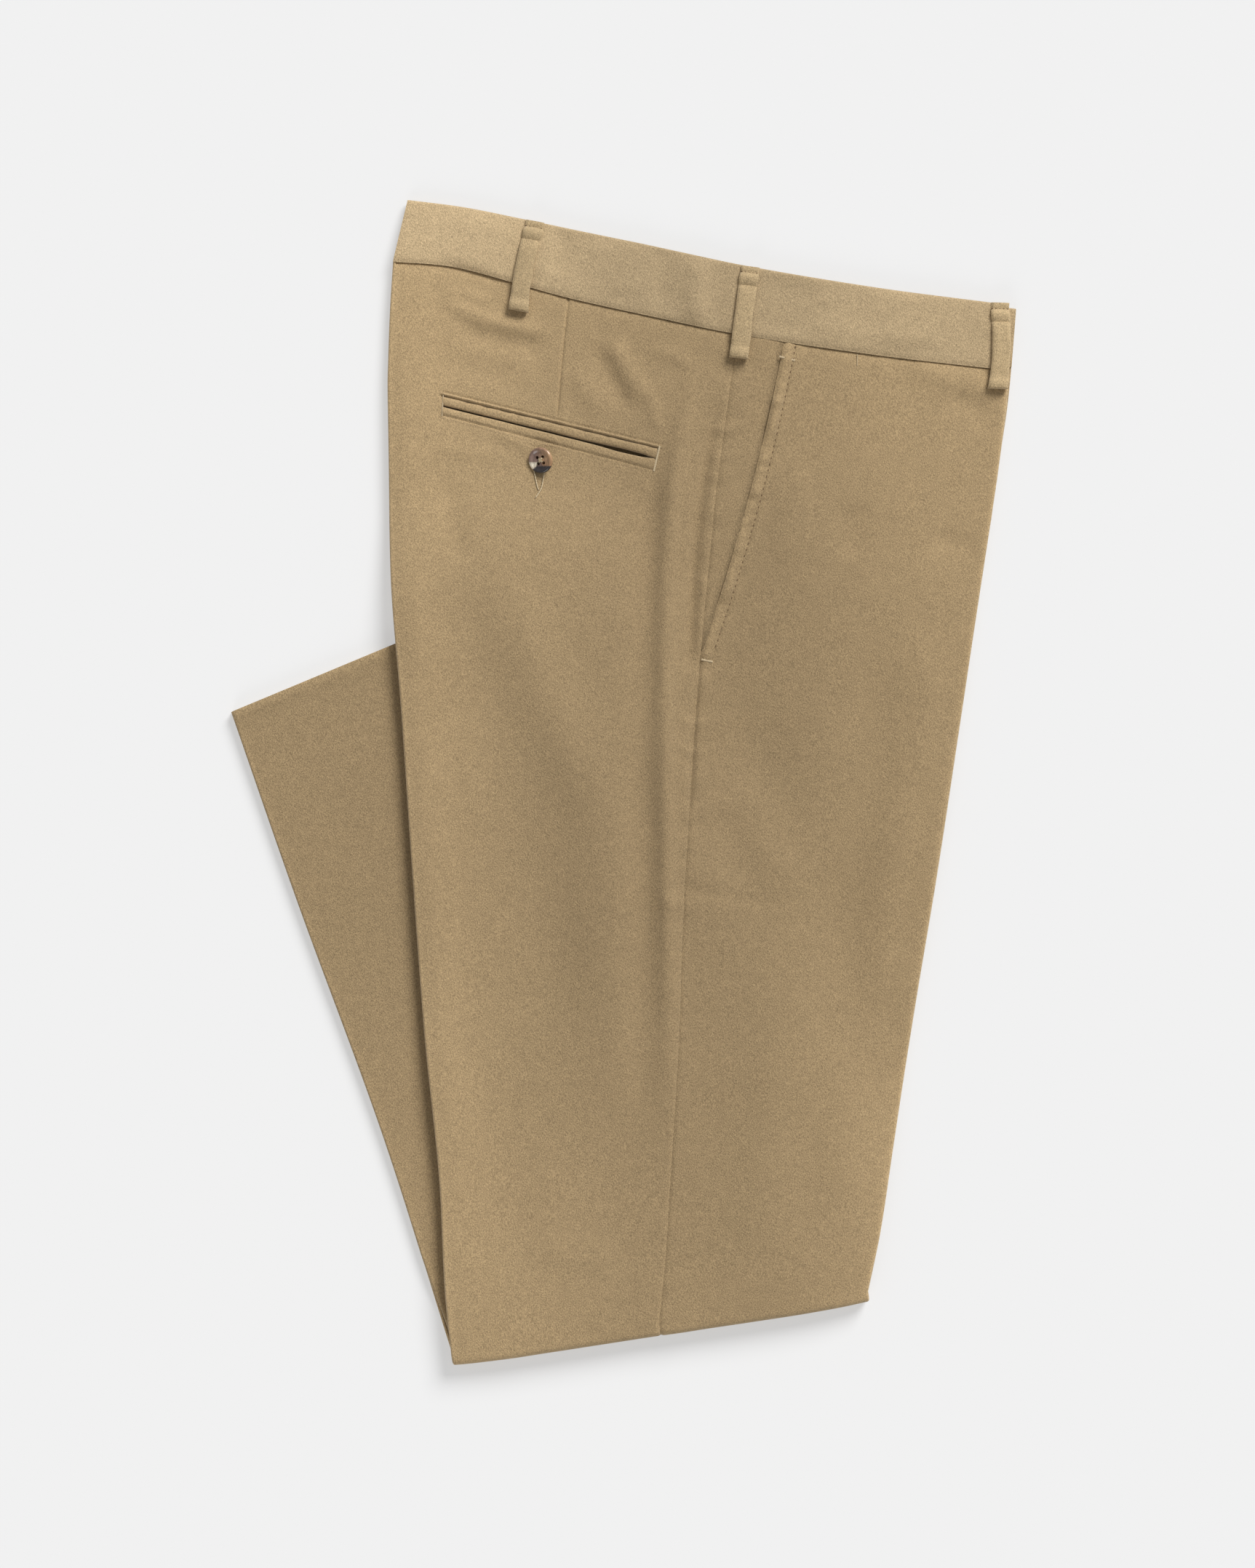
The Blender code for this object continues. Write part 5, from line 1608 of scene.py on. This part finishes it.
class TROUSERS_OT_waistband(bpy.types.Operator):
    """Lay both halves of the waistband"""

    bl_idname = "trousers.waistband"
    bl_label = "Waistband"

    def execute(self, context):
        ready_materials()
        waistbands(FoldedCloth())
        return {"FINISHED"}


class TROUSERS_OT_belt_loops(bpy.types.Operator):
    """Sew on the three belt loops that show"""

    bl_idname = "trousers.belt_loops"
    bl_label = "Belt loops"

    def execute(self, context):
        ready_materials()
        belt_loops(FoldedCloth())
        return {"FINISHED"}


class TROUSERS_OT_back_pocket(bpy.types.Operator):
    """Fill the back pocket's mouth with its welts and sew on its button"""

    bl_idname = "trousers.back_pocket"
    bl_label = "Back pocket"

    def execute(self, context):
        ready_materials()
        cloth = FoldedCloth()
        pocket_welts(cloth)
        pocket_button(cloth)
        return {"FINISHED"}


class TROUSERS_OT_sewing(bpy.types.Operator):
    """Sew the topstitching, the bar tacks and the button's thread"""

    bl_idname = "trousers.sewing"
    bl_label = "Sewing"

    def execute(self, context):
        ready_materials()
        cloth = FoldedCloth()
        panel_sewing(cloth)
        loop_sewing(cloth)
        button_sewing(cloth)
        return {"FINISHED"}


FLOOR_SIZE = 30.0
VIEW_HEIGHT = 0.9918              # what the frame's long side takes in, in metres
VIEW_CENTRE = (0.0023, -0.0014, 0.008)
SENSOR = 36.0
KEY_FROM = (0.65, 1.0, 0.85)      # the lights shine from here
FILL_FROM = (-0.3, -1.2, 0.6)


class TROUSERS_OT_stage(bpy.types.Operator):
    """Lay the floor, hang the lights and set the camera over the trousers"""

    bl_idname = "trousers.stage"
    bl_label = "Floor, light and camera"

    def execute(self, context):
        look = context.scene.trouser_stage
        bm = bmesh.new()
        bmesh.ops.create_grid(bm, x_segments=1, y_segments=1, size=FLOOR_SIZE / 2)
        mesh = bpy.data.meshes.new("floor")
        bm.to_mesh(mesh)
        bm.free()
        floor = bpy.data.objects.new("floor", mesh)
        context.scene.collection.objects.link(floor)
        paper = plain("paper", tuple(look.floor), 0.95, 0.01)
        shader = paper.node_tree.nodes["Principled BSDF"]
        shader.inputs["Emission Color"].default_value = (1, 1, 1, 1)
        shader.inputs["Emission Strength"].default_value = look.glow
        mesh.materials.append(paper)

        world = bpy.data.worlds.new("even light")
        world.use_nodes = True
        world.node_tree.nodes["Background"].inputs["Color"].default_value = (1, 1, 1, 1)
        world.node_tree.nodes["Background"].inputs["Strength"].default_value = look.sky
        context.scene.world = world
        context.scene.view_settings.view_transform = "Standard"

        for name, strength, place in (("key", look.key, KEY_FROM), ("fill", look.fill, FILL_FROM)):
            light = bpy.data.lights.new(name, "SUN")
            light.energy = strength
            light.angle = look.softness
            lamp = bpy.data.objects.new(name, light)
            lamp.location = Vector(place)
            lamp.rotation_euler = (-lamp.location).to_track_quat("-Z", "Y").to_euler()
            context.scene.collection.objects.link(lamp)

        camera = bpy.data.cameras.new("camera")
        camera.lens = look.lens
        camera.sensor_width = SENSOR
        camera.clip_end = 50.0
        holder = bpy.data.objects.new("camera", camera)
        distance = look.lens * VIEW_HEIGHT / SENSOR
        holder.location = Vector(VIEW_CENTRE) + Vector((0.0, 0.0, distance))
        context.scene.collection.objects.link(holder)
        context.scene.camera = holder
        return {"FINISHED"}


STEPS = (
    TROUSERS_OT_panels,
    TROUSERS_OT_under_layers,
    TROUSERS_OT_waistband,
    TROUSERS_OT_belt_loops,
    TROUSERS_OT_back_pocket,
    TROUSERS_OT_sewing,
    TROUSERS_OT_stage,
)


class TROUSERS_PT_build(bpy.types.Panel):
    """Sizes, colours and steps of the folded trousers"""

    bl_label = "Folded trousers"
    bl_space_type = "VIEW_3D"
    bl_region_type = "UI"
    bl_category = "Trousers"

    def draw(self, context):
        scene = context.scene
        for group in (scene.trouser_cloth, scene.trouser_button, scene.trouser_stage):
            box = self.layout.box()
            for name in group.__annotations__:
                box.prop(group, name)
        for step in STEPS:
            self.layout.operator(step.bl_idname)


GROUPS = {"trouser_cloth": ClothSizes, "trouser_button": ButtonSizes,
          "trouser_stage": StageLook}


def register():
    for group in GROUPS.values():
        bpy.utils.register_class(group)
    for name, group in GROUPS.items():
        setattr(bpy.types.Scene, name, PointerProperty(type=group))
    for step in STEPS:
        bpy.utils.register_class(step)
    bpy.utils.register_class(TROUSERS_PT_build)


def unregister():
    bpy.utils.unregister_class(TROUSERS_PT_build)
    for step in reversed(STEPS):
        bpy.utils.unregister_class(step)
    for name, group in GROUPS.items():
        delattr(bpy.types.Scene, name)
        bpy.utils.unregister_class(group)


def main():
    register()
    for step in STEPS:
        prefix, action = step.bl_idname.split(".")
        getattr(getattr(bpy.ops, prefix), action)()


if __name__ == "__main__":
    main()
